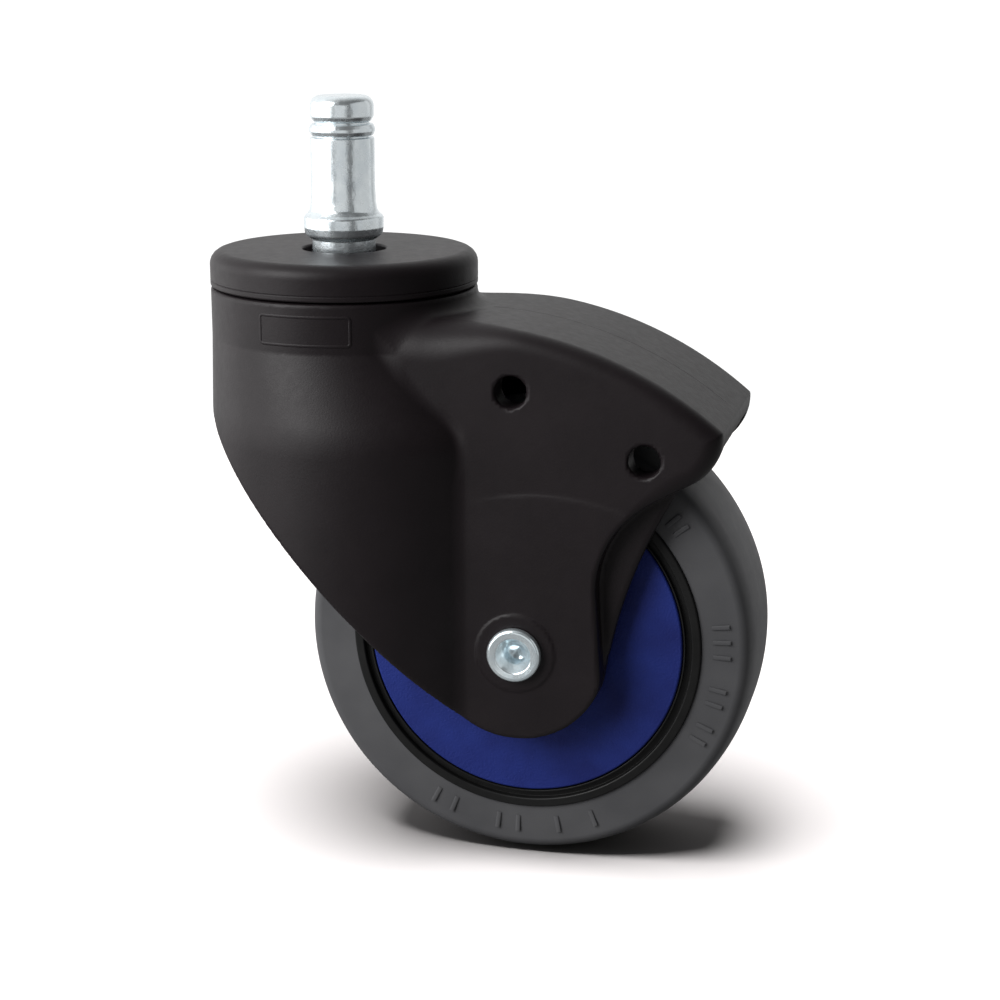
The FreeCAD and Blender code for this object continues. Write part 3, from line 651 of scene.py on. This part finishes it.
def outline_distance(x, z, corners):
    """The distance to an outline in the XZ plane, negative inside. Its solid is on the left.

    A corner is (x, z), or (x, z, radius) where an arc arrives: a positive radius turns left."""
    points = []
    for i, (px, pz, *radius) in enumerate(corners):
        end, start = np.array([px, pz]), np.array(corners[i - 1][:2])
        if radius:
            chord = end - start
            half = np.linalg.norm(chord) / 2
            inward = np.array([-chord[1], chord[0]]) / (2 * half) * math.copysign(1, radius[0])
            centre = (start + end) / 2 + inward * math.sqrt(radius[0] ** 2 - half ** 2)
            first = math.atan2(*(start - centre)[::-1])
            turn = 2 * math.asin(half / abs(radius[0])) * math.copysign(1, radius[0])
            steps = max(2, math.ceil(abs(turn) / ARC_STEP))
            for k in range(1, steps):
                angle = first + turn * k / steps
                points.append(centre + abs(radius[0]) * np.array([math.cos(angle), math.sin(angle)]))
        points.append(end)
    nearest = np.inf
    inside = np.zeros(np.broadcast(x, z).shape, bool)
    for i, (bx, bz) in enumerate(points):
        ax, az = points[i - 1]
        dx, dz = bx - ax, bz - az
        t = np.clip(((x - ax) * dx + (z - az) * dz) / (dx * dx + dz * dz), 0, 1)
        nearest = np.minimum(nearest, np.hypot(x - ax - t * dx, z - az - t * dz))
        if dz:
            crossing = (az <= z) != (bz <= z)
            inside ^= crossing & (x < ax + (z - az) / dz * dx)
    return np.where(inside, -nearest, nearest)


def around(centre, radius, angle):
    """The point at that distance and angle from a centre."""
    return (centre[0] + radius * math.cos(angle), centre[1] + radius * math.sin(angle))


# The cheeks and the hood seen along the axle, and the inner skirt behind the cheeks' rear edge. Both
# run with the solid on their left. The cheeks' outline goes on inside the head, and below their round
# ends, which under_distance() cuts.
WAIST = (49.2, 52.0)
CHEEK_REAR = around(AXLE, CHEEK_END, CHEEK_REAR_ANGLE)
BEAK = around(HOOD_CENTRE, HOOD_RADIUS, math.radians(90 - HOOD_END))
HOOD_TOP = HOOD_CENTRE[1] + HOOD_RADIUS
CHEEK_OUTLINE = [
    (10, HOOD_TOP),
    (10, FLARE_LOW - 2),
    (CHEEK_FRONT, FLARE_LOW - 2),
    (CHEEK_FRONT, 10),
    (WAIST[0] + 2.7, 10),
    WAIST,
    (BEAK[0] - 11.1, BEAK[1] - 12.1, -17.6),
    (BEAK[0] - 4.6, BEAK[1] - 8.6),
    (*BEAK, 9.1),
    (HOOD_CENTRE[0], HOOD_TOP, HOOD_RADIUS),
]
SKIRT_OUTLINE = [
    tuple(AXLE),
    CHEEK_REAR,
    (62.6, 69.6, -90),
    (45, 75),
]


def under_distance(x, z, from_axle):
    """The distance to all that is below the fork: a slope in front, and the cheeks' round ends."""
    out_x, out_z = -math.sin(CUT_ANGLE), -math.cos(CUT_ANGLE)
    past_foot = (x - AXLE[0]) * -out_z + (z - AXLE[1]) * out_x > 0
    slope = (x - AXLE[0]) * out_x + (z - AXLE[1]) * out_z
    return np.where(past_foot & (z < AXLE[1]), from_axle, slope) - CHEEK_END


def housing_distance(x, y, z):
    """The distance to the fork housing's surface, negative inside it."""
    across = np.abs(y)

    # The head, and the round bulge under it that an oblique flare widens to.
    down = (FLARE_HIGH - z) / (FLARE_HIGH - FLARE_FOOT)
    down = np.maximum(soft_least(down, 1.0, FLARE_BLEND), 0)
    bulge_x = BULGE_RADIUS - HEAD_RADIUS
    round_out = np.hypot(x - down * bulge_x, y) - HEAD_RADIUS - down * bulge_x
    solid = overlap(round_out, z - SEAM, HEAD_EDGE)

    # Its hollow inside, and the wall and rib round the wheel's front.
    from_axle = np.hypot(x - AXLE[0], z - AXLE[1])
    core = overlap(np.hypot(x - bulge_x, y) - BULGE_RADIUS + WALL, z - CORE_HIGH, CORE_EDGE)
    solid = cut(solid, core, CORE_RIM)
    front = np.maximum(z - CORE_HIGH - WALL, x - SLOT_FRONT)
    liner = overlap(from_axle - SLOT_RADIUS - WALL, across - SLOT_HALF - WALL, LINER_EDGE)
    liner = np.maximum(liner, front)
    rib = np.maximum(np.maximum(across - WALL / 2, bulge_x - BULGE_RADIUS + WALL / 2 - x), front)
    solid = join(join(solid, liner, WALL_FILLET), rib, WALL_FILLET)

    # The cheeks with the hood: its edge is rounder near the head, and sharp below the beak. They are
    # very slightly thicker inside an arc over the axle, which shows as a faint crease.
    top_edge = HOOD_EDGE_FRONT - HOOD_EDGE_LOSS * smooth_step(*HOOD_EDGE_LOSES, x)
    edge = BEAK_EDGE + (top_edge - BEAK_EDGE) * smooth_step(*BEAK_EDGE_ENDS, z)
    from_crease = np.hypot(x - CREASE_CENTRE[0], z - CREASE_CENTRE[1])
    raised = smooth_step(CREASE_OUTSIDE, CREASE_INSIDE, from_crease) * smooth_step(*CREASE_FADES_ALONG, x)
    raised = CREASE_HEIGHT * raised * smooth_step(*CREASE_FADES_UP, z)
    cheeks = overlap(outline_distance(x, z, CHEEK_OUTLINE), across - CHEEK_HALF - raised, edge)
    skirt = overlap(outline_distance(x, z, SKIRT_OUTLINE), across - SKIRT_HALF, SKIRT_EDGE)
    boss = overlap(from_axle - BOSS_RADIUS, across - CHEEK_HALF - BOSS_HEIGHT, BOSS_EDGE)
    boss = np.maximum(boss, BOSS_INSIDE - across)
    cheeks = join(join(cheeks, skirt, SKIRT_FILLET), boss, BOSS_FILLET)
    fillet = CHEEK_FILLET + CHEEK_FILLET_GAIN * smooth_step(*CHEEK_FILLET_GAINS, z)
    solid = join(solid, cheeks, fillet)

    # The lower edge, and the wheel's space with a brake's bay above it.
    solid = overlap(solid, under_distance(x, z, from_axle), FOOT_EDGE)
    bay_wall = (x - AXLE[0]) * -math.sin(BAY_ANGLE) + (z - AXLE[1]) * math.cos(BAY_ANGLE)
    bay = np.maximum(from_axle - BAY_RADIUS, bay_wall)
    rear = np.maximum(z - LIP_UNDER, AXLE[0] - x)
    space = np.minimum(np.minimum(from_axle - SLOT_RADIUS, bay), rear)
    solid = cut(solid, overlap(space, across - SLOT_HALF, SLOT_EDGE), SLOT_RIM)

    # The bearing's seat, the relief under it, the bush's seat and the holes.
    from_swivel = np.hypot(x, y)
    for radius, low in SEATS:
        solid = cut(solid, np.maximum(from_swivel - radius, low - z), SEAT_RIM)
    for (hole_x, hole_z), radius in [(h, HOLE_RADIUS) for h in HOLES] + [(AXLE, AXLE_HOLE)]:
        solid = cut(solid, np.hypot(x - hole_x, z - hole_z) - radius, HOLE_EDGE)
    return solid


# ---------------------------------------------------------------------------- a mesh from its distances


# How the mesh's points are moved onto the surface, and how far apart its normals are measured.
SOLVE_ROUNDS = 4
SOLVE_REACH = 0.02
SOLVE_STEP = 0.3
NORMAL_REACH = 0.2


def slopes_at(distance, points, reach):
    """The unit gradient of a distance at points, which is the surface's normal there."""
    columns = []
    for axis in np.eye(3) * reach:
        columns.append(distance(*(points + axis).T) - distance(*(points - axis).T))
    slopes = np.stack(columns, 1)
    return slopes / np.maximum(np.linalg.norm(slopes, axis=1, keepdims=True), 1e-9)


def surface_mesh(distance, low, high, cell):
    """Points and faces of the surface where the distance is zero, with a point in each cell it crosses.

    A face stands round each edge of the grid that the surface crosses."""
    x, y, z = (np.arange(a - 2 * cell, b + 3 * cell, cell) for a, b in zip(low, high))
    field = distance(x[:, None, None], y[None, :, None], z[None, None, :])
    field = np.where(np.abs(field) < TINY, TINY, field)
    shape = np.array(field.shape)
    strides = np.array([shape[1] * shape[2], shape[2], 1])
    total = np.zeros((field.size, 3))
    hits = np.zeros(field.size)
    quads = []
    for axis in range(3):
        near = np.moveaxis(field, axis, 0)[:-1]
        far = np.moveaxis(field, axis, 0)[1:]
        found = np.stack(np.nonzero((near < 0) != (far < 0)), 1)
        a, b = near[tuple(found.T)], far[tuple(found.T)]
        node = np.insert(found[:, 1:], axis, found[:, 0], axis=1)
        place = node.astype(float)
        place[:, axis] += a / (a - b)
        side, other = [k for k in range(3) if k != axis]
        cells = node @ strides
        before = cells - strides[side]
        ring = [cells, before, before - strides[other], cells - strides[other]]
        for cell_index in ring:
            hits += np.bincount(cell_index, minlength=field.size)
            for k in range(3):
                total[:, k] += np.bincount(cell_index, place[:, k], field.size)
        quad = np.stack(ring, 1)
        flip = (a < 0) == (axis == 1)
        quad[flip] = quad[flip, ::-1]
        quads.append(quad)
    used = np.nonzero(hits)[0]
    order = np.zeros(field.size, int)
    order[used] = np.arange(len(used))
    points = total[used] / hits[used, None] * cell + (x[0], y[0], z[0])
    for _ in range(SOLVE_ROUNDS):
        slope = slopes_at(distance, points, SOLVE_REACH)
        step = np.clip(distance(*points.T), -SOLVE_STEP * cell, SOLVE_STEP * cell)
        points = points - slope * step[:, None]
    return points, order[np.concatenate(quads)]


# ---------------------------------------------------------------------------------------- fork housing


def make_housing():
    """The one-piece fork, meshed from its distances, with the exact slopes as its normals."""
    low, high = corner("fork_housing", 0), corner("fork_housing", 1)
    points, faces = surface_mesh(housing_distance, low, high, CELL)
    points = np.clip(points, low, high)
    normals = slopes_at(housing_distance, points, NORMAL_REACH)
    new_piece("fork_shell", points, faces.tolist(), normals, "swivel", "housing_plastic", "fork_housing")


# ---------------------------------------------------------------------------------------- turned pieces


def make_stem():
    """The stem: tail, bearing seat, shoulder, neck, collar, barrel, ring groove and rounded head."""
    groove_low, groove_high = RING_LOW - GROOVE_PLAY, RING_HIGH + GROOVE_PLAY
    corners = [
        (0, STEM_LOW, 0),
        (TAIL_RADIUS, STEM_LOW, 0.6),
        (TAIL_RADIUS, TAIL_TOP, 0.2),
        (SEAT_RADIUS, TAIL_TOP, 0.3),
        (SEAT_RADIUS, BEARING_HIGH, 0.2),
        (SHOULDER_RADIUS, BEARING_HIGH, 0.2),
        (SHOULDER_RADIUS, SHOULDER_TOP, 0.5),
        (NECK_RADIUS, SHOULDER_TOP, 0.3),
        (NECK_RADIUS, COLLAR_LOW, 0.2),
        (NECK_RADIUS + 0.35, COLLAR_LOW + 0.05, 0.4),
        (COLLAR_RADIUS - 0.25, COLLAR_LOW + 0.7, 0.9),
        (COLLAR_RADIUS, COLLAR_LOW + 2.0, 1.2),
        (COLLAR_RADIUS, COLLAR_HIGH - 0.5, 0.7),
        (COLLAR_RADIUS - 0.6, COLLAR_HIGH, 0.5),
        (BARREL_RADIUS + 0.3, COLLAR_HIGH + 0.7, 1.2),
        (BARREL_RADIUS + 0.13, COLLAR_HIGH + 2.0, 2.5),
        (BARREL_RADIUS, COLLAR_HIGH + 4.8, 3.0),
        (BARREL_RADIUS, groove_low, 0.12),
        (GROOVE_RADIUS, groove_low, 0.1),
        (GROOVE_RADIUS, groove_high, 0.1),
        (NECK_RADIUS - 0.5, groove_high + 0.08, 0.3),
        (NECK_RADIUS, groove_high + 0.9, 0.9),
        (NECK_RADIUS, STEM_TOP, 2.4),
        (0, STEM_TOP, 0),
    ]
    turned("stem_bar", corners, "stem", "zinc_plated_steel", "stem")


def make_grip_ring():
    """The split ring in the stem's groove, bevelled outside. Its gap is at the back."""
    corners = [
        (RING_BORE, RING_LOW, 0.1),
        (RING_EDGE, RING_LOW, 0.3),
        (RING_RADIUS, RING_LOW + RING_BEVEL, 0.5),
        (RING_RADIUS, RING_HIGH - RING_BEVEL, 0.5),
        (RING_EDGE, RING_HIGH, 0.3),
        (RING_BORE, RING_HIGH, 0.1),
    ]
    start = RING_GAP_AT + RING_GAP / 2
    sweep = 360 - RING_GAP
    turned("split_ring", corners, "stem", "zinc_plated_steel", "grip_ring", sweep=sweep, start=start)


def make_head_cap():
    """The cap over the bearing: its spigot inside the head, a fine groove near its foot, and its hole."""
    low = SEAM + CAP_PLAY
    groove = low + CAP_GROOVE_UP
    corners = [
        (SPIGOT_IN, BEARING_HIGH, 0.1),
        (SPIGOT_OUT, BEARING_HIGH, 0.1),
        (SPIGOT_OUT, low, 0.1),
        (CAP_RADIUS, low, 0.35),
        (CAP_RADIUS, groove - CAP_GROOVE_HALF, 0.1),
        (CAP_RADIUS - CAP_GROOVE_DEPTH, groove, 0.05),
        (CAP_RADIUS, groove + CAP_GROOVE_HALF, 0.1),
        (CAP_RADIUS, CAP_TOP, 4.8),
        (CAP_HOLE, CAP_TOP, 0.4),
        (CAP_HOLE, CAP_CEILING, 0.1),
        (SPIGOT_IN, CAP_CEILING, 0.3),
    ]
    turned("bearing_cap", corners, "swivel", "housing_plastic", "head_cap")


def both_halves(half):
    """Half of a section, with its mirror image across the wheel's middle plane."""
    return half + [(r, -y, fillet) for r, y, fillet in reversed(half)]


def make_rivet():
    """The axle rivet: both ends are rolled out round a funnel."""
    half = [
        (AXLE_HOLE, RIVET_SEAT, 0.05),
        (RIVET_HEAD, RIVET_SEAT, 0.2),
        (RIVET_HEAD, RIVET_END, 0.8),
        (RIVET_LIP, RIVET_END - 0.25, 0.5),
        (FUNNEL_RADIUS, RIVET_END - FUNNEL_FOOT, 0.6),
        (FUNNEL_RADIUS, RIVET_END - FUNNEL_LOW, 0.2),
        (0, RIVET_END - FUNNEL_TIP, 0),
    ]
    section = both_halves(half)
    rivet = turned("rolled_rivet", section, "swivel", "zinc_plated_steel", "axle_rivet", wheel=True)
    rivet.data.materials[0] = ROLLED_ZINC


def make_rim():
    """The black rim: hub, web, outer wall, a groove round the disc and the lip beside the tyre."""
    ledge, bead = DISC_RADIUS - DISC_LEDGE, DISC_FACE - DISC_PROUD
    groove = DISC_FACE - RIM_GROOVE
    half = [
        (HUB_BORE, WHEEL_BEARING_IN, 0.1),
        (WHEEL_BEARING_RADIUS, WHEEL_BEARING_IN, 0.1),
        (WHEEL_BEARING_RADIUS, WHEEL_BEARING_OUT, 0.2),
        (HUB_RADIUS, WHEEL_BEARING_OUT, 0.3),
        (HUB_RADIUS, WEB_HALF, 1.0),
        (ledge, WEB_HALF, 1.0),
        (ledge, DISC_BACK, 0.2),
        (DISC_RADIUS + DISC_PLAY, DISC_BACK, 0.1),
        (DISC_RADIUS + DISC_PLAY, bead, 0.1),
        (DISC_RADIUS + RIM_BEAD, bead, 0.1),
        (DISC_RADIUS + RIM_BEAD, groove, 0.1),
        (RIM_LIP_IN, groove, 0.1),
        (RIM_LIP_IN, RIM_LIP_FACE, 0.3),
        (RIM_LIP_RADIUS, RIM_LIP_FACE, 0.3),
        (RIM_LIP_RADIUS, SEAT_TOP, 0.2),
        (TYRE_BORE, SEAT_FLAT, 0.2),
    ]
    section = both_halves(half)
    turned("rim", section, "wheel", "rim_plastic", "wheel_rim", wheel=True, segments=WHEEL_SEGMENTS)


def make_tyre():
    """The grey tyre: flat side walls, round shoulders and a slightly crowned tread."""
    half = [
        (TYRE_BORE, SEAT_FLAT, 0.2),
        (RIM_LIP_RADIUS, SEAT_TOP, 0.2),
        (RIM_LIP_RADIUS, TYRE_FACE, 0.15),
        (38.4, 11.9, 2.6),
        (39.35, 9.2, 12.0),
        (39.85, 4.5, 45.0),
    ]
    section = both_halves(half)
    turned("tyre_band", section, "wheel", "tyre_rubber", "tyre", wheel=True, segments=WHEEL_SEGMENTS)


def make_disc(name, side):
    """The blue disc on one side of the wheel, with rounded edges and a hole round the axle."""
    corners = [
        (DISC_HOLE, side * DISC_BACK, 0.1),
        (DISC_RADIUS, side * DISC_BACK, 0.1),
        (DISC_RADIUS, side * DISC_FACE, 0.4),
        (DISC_HOLE, side * DISC_FACE, 0.3),
    ]
    node = f"cover_disc_{name}"
    turned(f"disc_{name}", corners[::side], "wheel", "disc_plastic", node, wheel=True)


def rounded_frame(half_width, half_height, fillet, step):
    """Points round a rectangle with rounded corners, about step apart, counterclockwise."""
    corners = [(1, -1, -90), (1, 1, 0), (-1, 1, 90), (-1, -1, 180)]
    parts = 4
    points = []
    for side_x, side_y, first in corners:
        centre = np.array([side_x * (half_width - fillet), side_y * (half_height - fillet)])
        for k in range(parts + 1):
            angle = math.radians(first + 90 * k / parts)
            points.append(centre + fillet * np.array([math.cos(angle), math.sin(angle)]))
    path = []
    for i, start in enumerate(points):
        end = points[(i + 1) % len(points)]
        count = max(1, round(np.linalg.norm(end - start) / step))
        path += [start + (end - start) * k / count for k in range(count)]
    return np.array(path)


def make_badge_frame():
    """A blank frame in low relief on the front of the head."""
    flat = rounded_frame(BADGE_HALF_WIDTH, BADGE_HALF_HEIGHT, BADGE_CORNER, BADGE_STEP)
    angles = flat[:, 0] / HEAD_RADIUS - math.pi / 2
    out = np.stack([np.cos(angles), np.sin(angles), np.zeros(len(angles))], 1)
    path = out * (HEAD_RADIUS - RELIEF_SUNK)
    path[:, 2] = BADGE_MIDDLE + flat[:, 1]
    ring = [(path, out, True)]
    ridges("badge_frame", ring, BADGE_LINE_WIDTH, BADGE_RELIEF, "swivel", "housing_plastic")


def make_parting_line():
    """The mould's faint parting line along the middle of the hood."""
    angles = np.radians(np.linspace(PARTING_FROM, PARTING_TO, PARTING_POINTS))
    out = np.stack([np.cos(angles), np.zeros(PARTING_POINTS), np.sin(angles)], 1)
    path = out * (HOOD_RADIUS - LINE_SUNK) + (HOOD_CENTRE[0], 0, HOOD_CENTRE[1])
    line = [(path, out, False)]
    ridges("parting_line", line, PARTING_WIDTH, PARTING_RELIEF, "swivel", "housing_plastic")


def make_tyre_marks():
    """Short blank bars moulded on both of the tyre's sides, where a maker's marking would be."""
    angles = [first + k * step for first, count, step in MARK_GROUPS for k in range(count)]
    reach = np.linspace(MARK_IN, MARK_OUT, MARK_POINTS)
    paths = []
    for side in (-1, 1):
        face = np.full(MARK_POINTS, side * (TYRE_FACE - RELIEF_SUNK))
        up = np.tile([0.0, side, 0.0], (MARK_POINTS, 1))
        for turn in np.radians(angles):
            x = AXLE_X + reach * math.cos(turn)
            z = WHEEL_RADIUS + reach * math.sin(turn)
            paths.append((np.stack([x, face, z], 1), up, False))
    ridges("tyre_marks", paths, MARK_WIDTH, MARK_RELIEF, "wheel", "tyre_rubber")


def make_rim_ribs():
    """The thin ribs between the hub and the rim's outer wall, hidden by the discs."""
    thick, wide = RIB_HALF_THICKNESS, RIB_HALF_WIDTH
    section = ((-thick, -wide), (thick, -wide), (thick, wide), (-thick, wide))
    points, faces = [], []
    for i in range(RIB_COUNT):
        turn = math.tau * i / RIB_COUNT
        ahead = np.array([math.cos(turn), 0, math.sin(turn)])
        aside = np.array([-math.sin(turn), 0, math.cos(turn)])
        first = len(points)
        for reach in (RIB_FOOT, DISC_RADIUS - RIB_SHORT):
            points += [ahead * reach + aside * a + (AXLE_X, b, WHEEL_RADIUS) for a, b in section]
        faces += [(first + 3, first + 2, first + 1, first), (first + 4, first + 5, first + 6, first + 7)]
        for k in range(4):
            after = first + (k + 1) % 4
            faces.append((first + k, after, after + 4, first + k + 4))
    ribs = new_piece("rim_ribs", points, faces, None, "wheel", "rim_plastic")
    ribs.data.polygons.foreach_set("use_smooth", [False] * len(ribs.data.polygons))


def dress_frame_nodes():
    """The CAD nodes that still show get their own slot's material."""
    slots = {part["node"]: part["material_slot"] for part in frame["record"]["subparts"]}
    for name, node in frame["nodes"].items():
        node.data.materials.clear()
        node.data.materials.append(MATERIALS[slots[name]])


# --------------------------------------------------------------------------- floor, light and camera


# Places and sizes here are in metres.
FLOOR_REACH = 0.35
FLOOR_SIDES = 96
FLOOR_SEEN = (0.206, 0.198, 0.197)
FLOOR_BOUNCE = (0.04, 0.04, 0.04)
FLOOR_LIGHT_FROM = (-0.11, -0.20, 1.0)
FLOOR_LIGHT_ANGLE = math.radians(39)
FLOOR_LIGHT_STRENGTH = 20

# Soft lights by name, each with its place, its size and its power in watts.
CASTER_LIGHTS = {
    "key": ((-0.43, -0.49, 0.36), 0.5, 5.1),
    "left_card": ((-0.55, 0.02, -0.02), 0.45, 0.7),
    "low_card": ((-0.40, -0.36, -0.20), 0.4, 1.1),
}
METAL_CARDS = {
    "metal_card_left": ((-0.32, -0.38, -0.02), 0.4, 0.3),
    "metal_card_front": ((0.13, -0.59, -0.02), 0.5, 0.45),
    "metal_card_right": ((0.54, 0.06, -0.02), 1.0, 1.6),
}
CASTER_MIDDLE = (0.02, 0, -0.03)
STEM_MIDDLE = (0, 0, 0.01)

# The room is brighter the further a direction turns to its bright side, over ROOM_TURN.
ROOM_SEEN = 1.1
ROOM_DARK = 0.08
ROOM_BRIGHT = 0.95
ROOM_BRIGHT_SIDE = (-0.83, 0.56, 0.0)
ROOM_TURN = (-0.4, 0.5)

# The camera's angles are in degrees, and its lens and sensor in millimetres.
CAMERA_PLACE = (0.1151, -0.3544, 0.0453)
CAMERA_DOWN = 14.67
CAMERA_AROUND = 13.81
CAMERA_LENS = 76.87
CAMERA_SENSOR = 36.0


def make_floor():
    """A plain round floor that the wheel stands on. It looks pale, and throws little light back up."""
    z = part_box("tyre")[0].z
    turns = [math.tau * i / FLOOR_SIDES for i in range(FLOOR_SIDES)]
    rim = [(FLOOR_REACH * math.cos(turn), FLOOR_REACH * math.sin(turn), z) for turn in turns]
    mesh = bpy.data.meshes.new("floor")
    mesh.from_pydata(rim, [], [range(FLOOR_SIDES)])
    floor = bpy.data.objects.new("floor", mesh)
    bpy.context.scene.collection.objects.link(floor)
    material, shader = plain_material("pale_floor", rough=0.9, specular=0.0)
    nodes, links = material.node_tree.nodes, material.node_tree.links
    seen = nodes.new("ShaderNodeLightPath")
    colour = tint(material, seen.outputs["Is Camera Ray"], FLOOR_BOUNCE, FLOOR_SEEN)
    links.new(colour, shader.inputs["Base Color"])
    mesh.materials.append(material)
    return floor


def aimed(name, lamp, place, target):
    """Put a lamp at a place in metres, facing the target."""
    light = bpy.data.objects.new(name, lamp)
    light.location = place
    light.rotation_euler = (Vector(target) - Vector(place)).to_track_quat("-Z", "Y").to_euler()
    bpy.context.scene.collection.objects.link(light)
    return light


def named(*names):
    """The scene's objects of these names."""
    return [bpy.data.objects[name] for name in names]


def grouped(name, pieces):
    """A collection that holds these pieces, for a lamp to link to."""
    group = bpy.data.collections.new(name)
    for piece in pieces:
        group.objects.link(piece)
    return group


def only_light(light, pieces):
    """Make a lamp light these pieces alone. Everything still throws shadows in it."""
    light.light_linking.receiver_collection = grouped(f"lit_by_{light.name}", pieces)


def make_soft_lights(lights, target, pieces):
    """Soft square lamps that face the target and light these pieces alone."""
    for name, (place, size, power) in lights.items():
        lamp = bpy.data.lights.new(name, "AREA")
        lamp.size = size
        lamp.energy = power
        only_light(aimed(name, lamp, place, target), pieces)


def make_floor_light(floor):
    """A broad light from above for the floor alone, where the wheel and fork throw a soft shadow."""
    lamp = bpy.data.lights.new("floor_light", "SUN")
    lamp.angle = FLOOR_LIGHT_ANGLE
    lamp.energy = FLOOR_LIGHT_STRENGTH
    light = aimed("floor_light", lamp, FLOOR_LIGHT_FROM, (0, 0, 0))
    only_light(light, [floor])
    shading = named("tyre_band", "rim", "disc_left", "disc_right", "fork_shell")
    light.light_linking.blocker_collection = grouped("shading_the_floor", shading)


def make_world():
    """A white room as the camera sees it. It lights the object from behind and from the left."""
    world = bpy.data.worlds.new("studio")
    world.use_nodes = True
    bpy.context.scene.world = world
    nodes, links = world.node_tree.nodes, world.node_tree.links
    background = nodes["Background"]
    where = nodes.new("ShaderNodeTexCoord")
    toward = nodes.new("ShaderNodeVectorMath")
    toward.operation = "DOT_PRODUCT"
    toward.inputs[1].default_value = ROOM_BRIGHT_SIDE
    glow = nodes.new("ShaderNodeMapRange")
    glow.inputs["From Min"].default_value = ROOM_TURN[0]
    glow.inputs["From Max"].default_value = ROOM_TURN[1]
    glow.inputs["To Min"].default_value = ROOM_DARK
    glow.inputs["To Max"].default_value = ROOM_BRIGHT
    seen = nodes.new("ShaderNodeLightPath")
    strength = nodes.new("ShaderNodeMix")
    strength.inputs["B"].default_value = ROOM_SEEN
    links.new(where.outputs["Generated"], toward.inputs[0])
    links.new(toward.outputs["Value"], glow.inputs["Value"])
    links.new(seen.outputs["Is Camera Ray"], strength.inputs["Factor"])
    links.new(glow.outputs["Result"], strength.inputs["A"])
    links.new(strength.outputs["Result"], background.inputs["Strength"])
    background.inputs["Color"].default_value = (1, 1, 1, 1)


def make_camera():
    """The camera looks down a little, from in front and to the right of the swivel axis."""
    data = bpy.data.cameras.new("camera")
    data.sensor_width = CAMERA_SENSOR
    data.lens = CAMERA_LENS
    camera = bpy.data.objects.new("camera", data)
    camera.location = CAMERA_PLACE
    camera.rotation_euler = (math.radians(90 - CAMERA_DOWN), 0, math.radians(CAMERA_AROUND))
    bpy.context.scene.collection.objects.link(camera)
    bpy.context.scene.camera = camera


def main():
    dress_frame_nodes()
    make_housing()
    make_stem()
    make_grip_ring()
    make_head_cap()
    make_rivet()
    make_rim()
    make_tyre()
    for name, side in (("left", -1), ("right", 1)):
        make_disc(name, side)
    make_badge_frame()
    make_parting_line()
    make_tyre_marks()
    make_rim_ribs()
    pieces = [piece for piece in bpy.data.objects if piece.type == "MESH"]
    make_soft_lights(CASTER_LIGHTS, CASTER_MIDDLE, pieces)
    make_soft_lights(METAL_CARDS, STEM_MIDDLE, named("stem_bar", "split_ring", "rolled_rivet"))
    make_floor_light(make_floor())
    make_world()
    make_camera()
    bpy.context.scene.view_settings.view_transform = "Standard"


main()
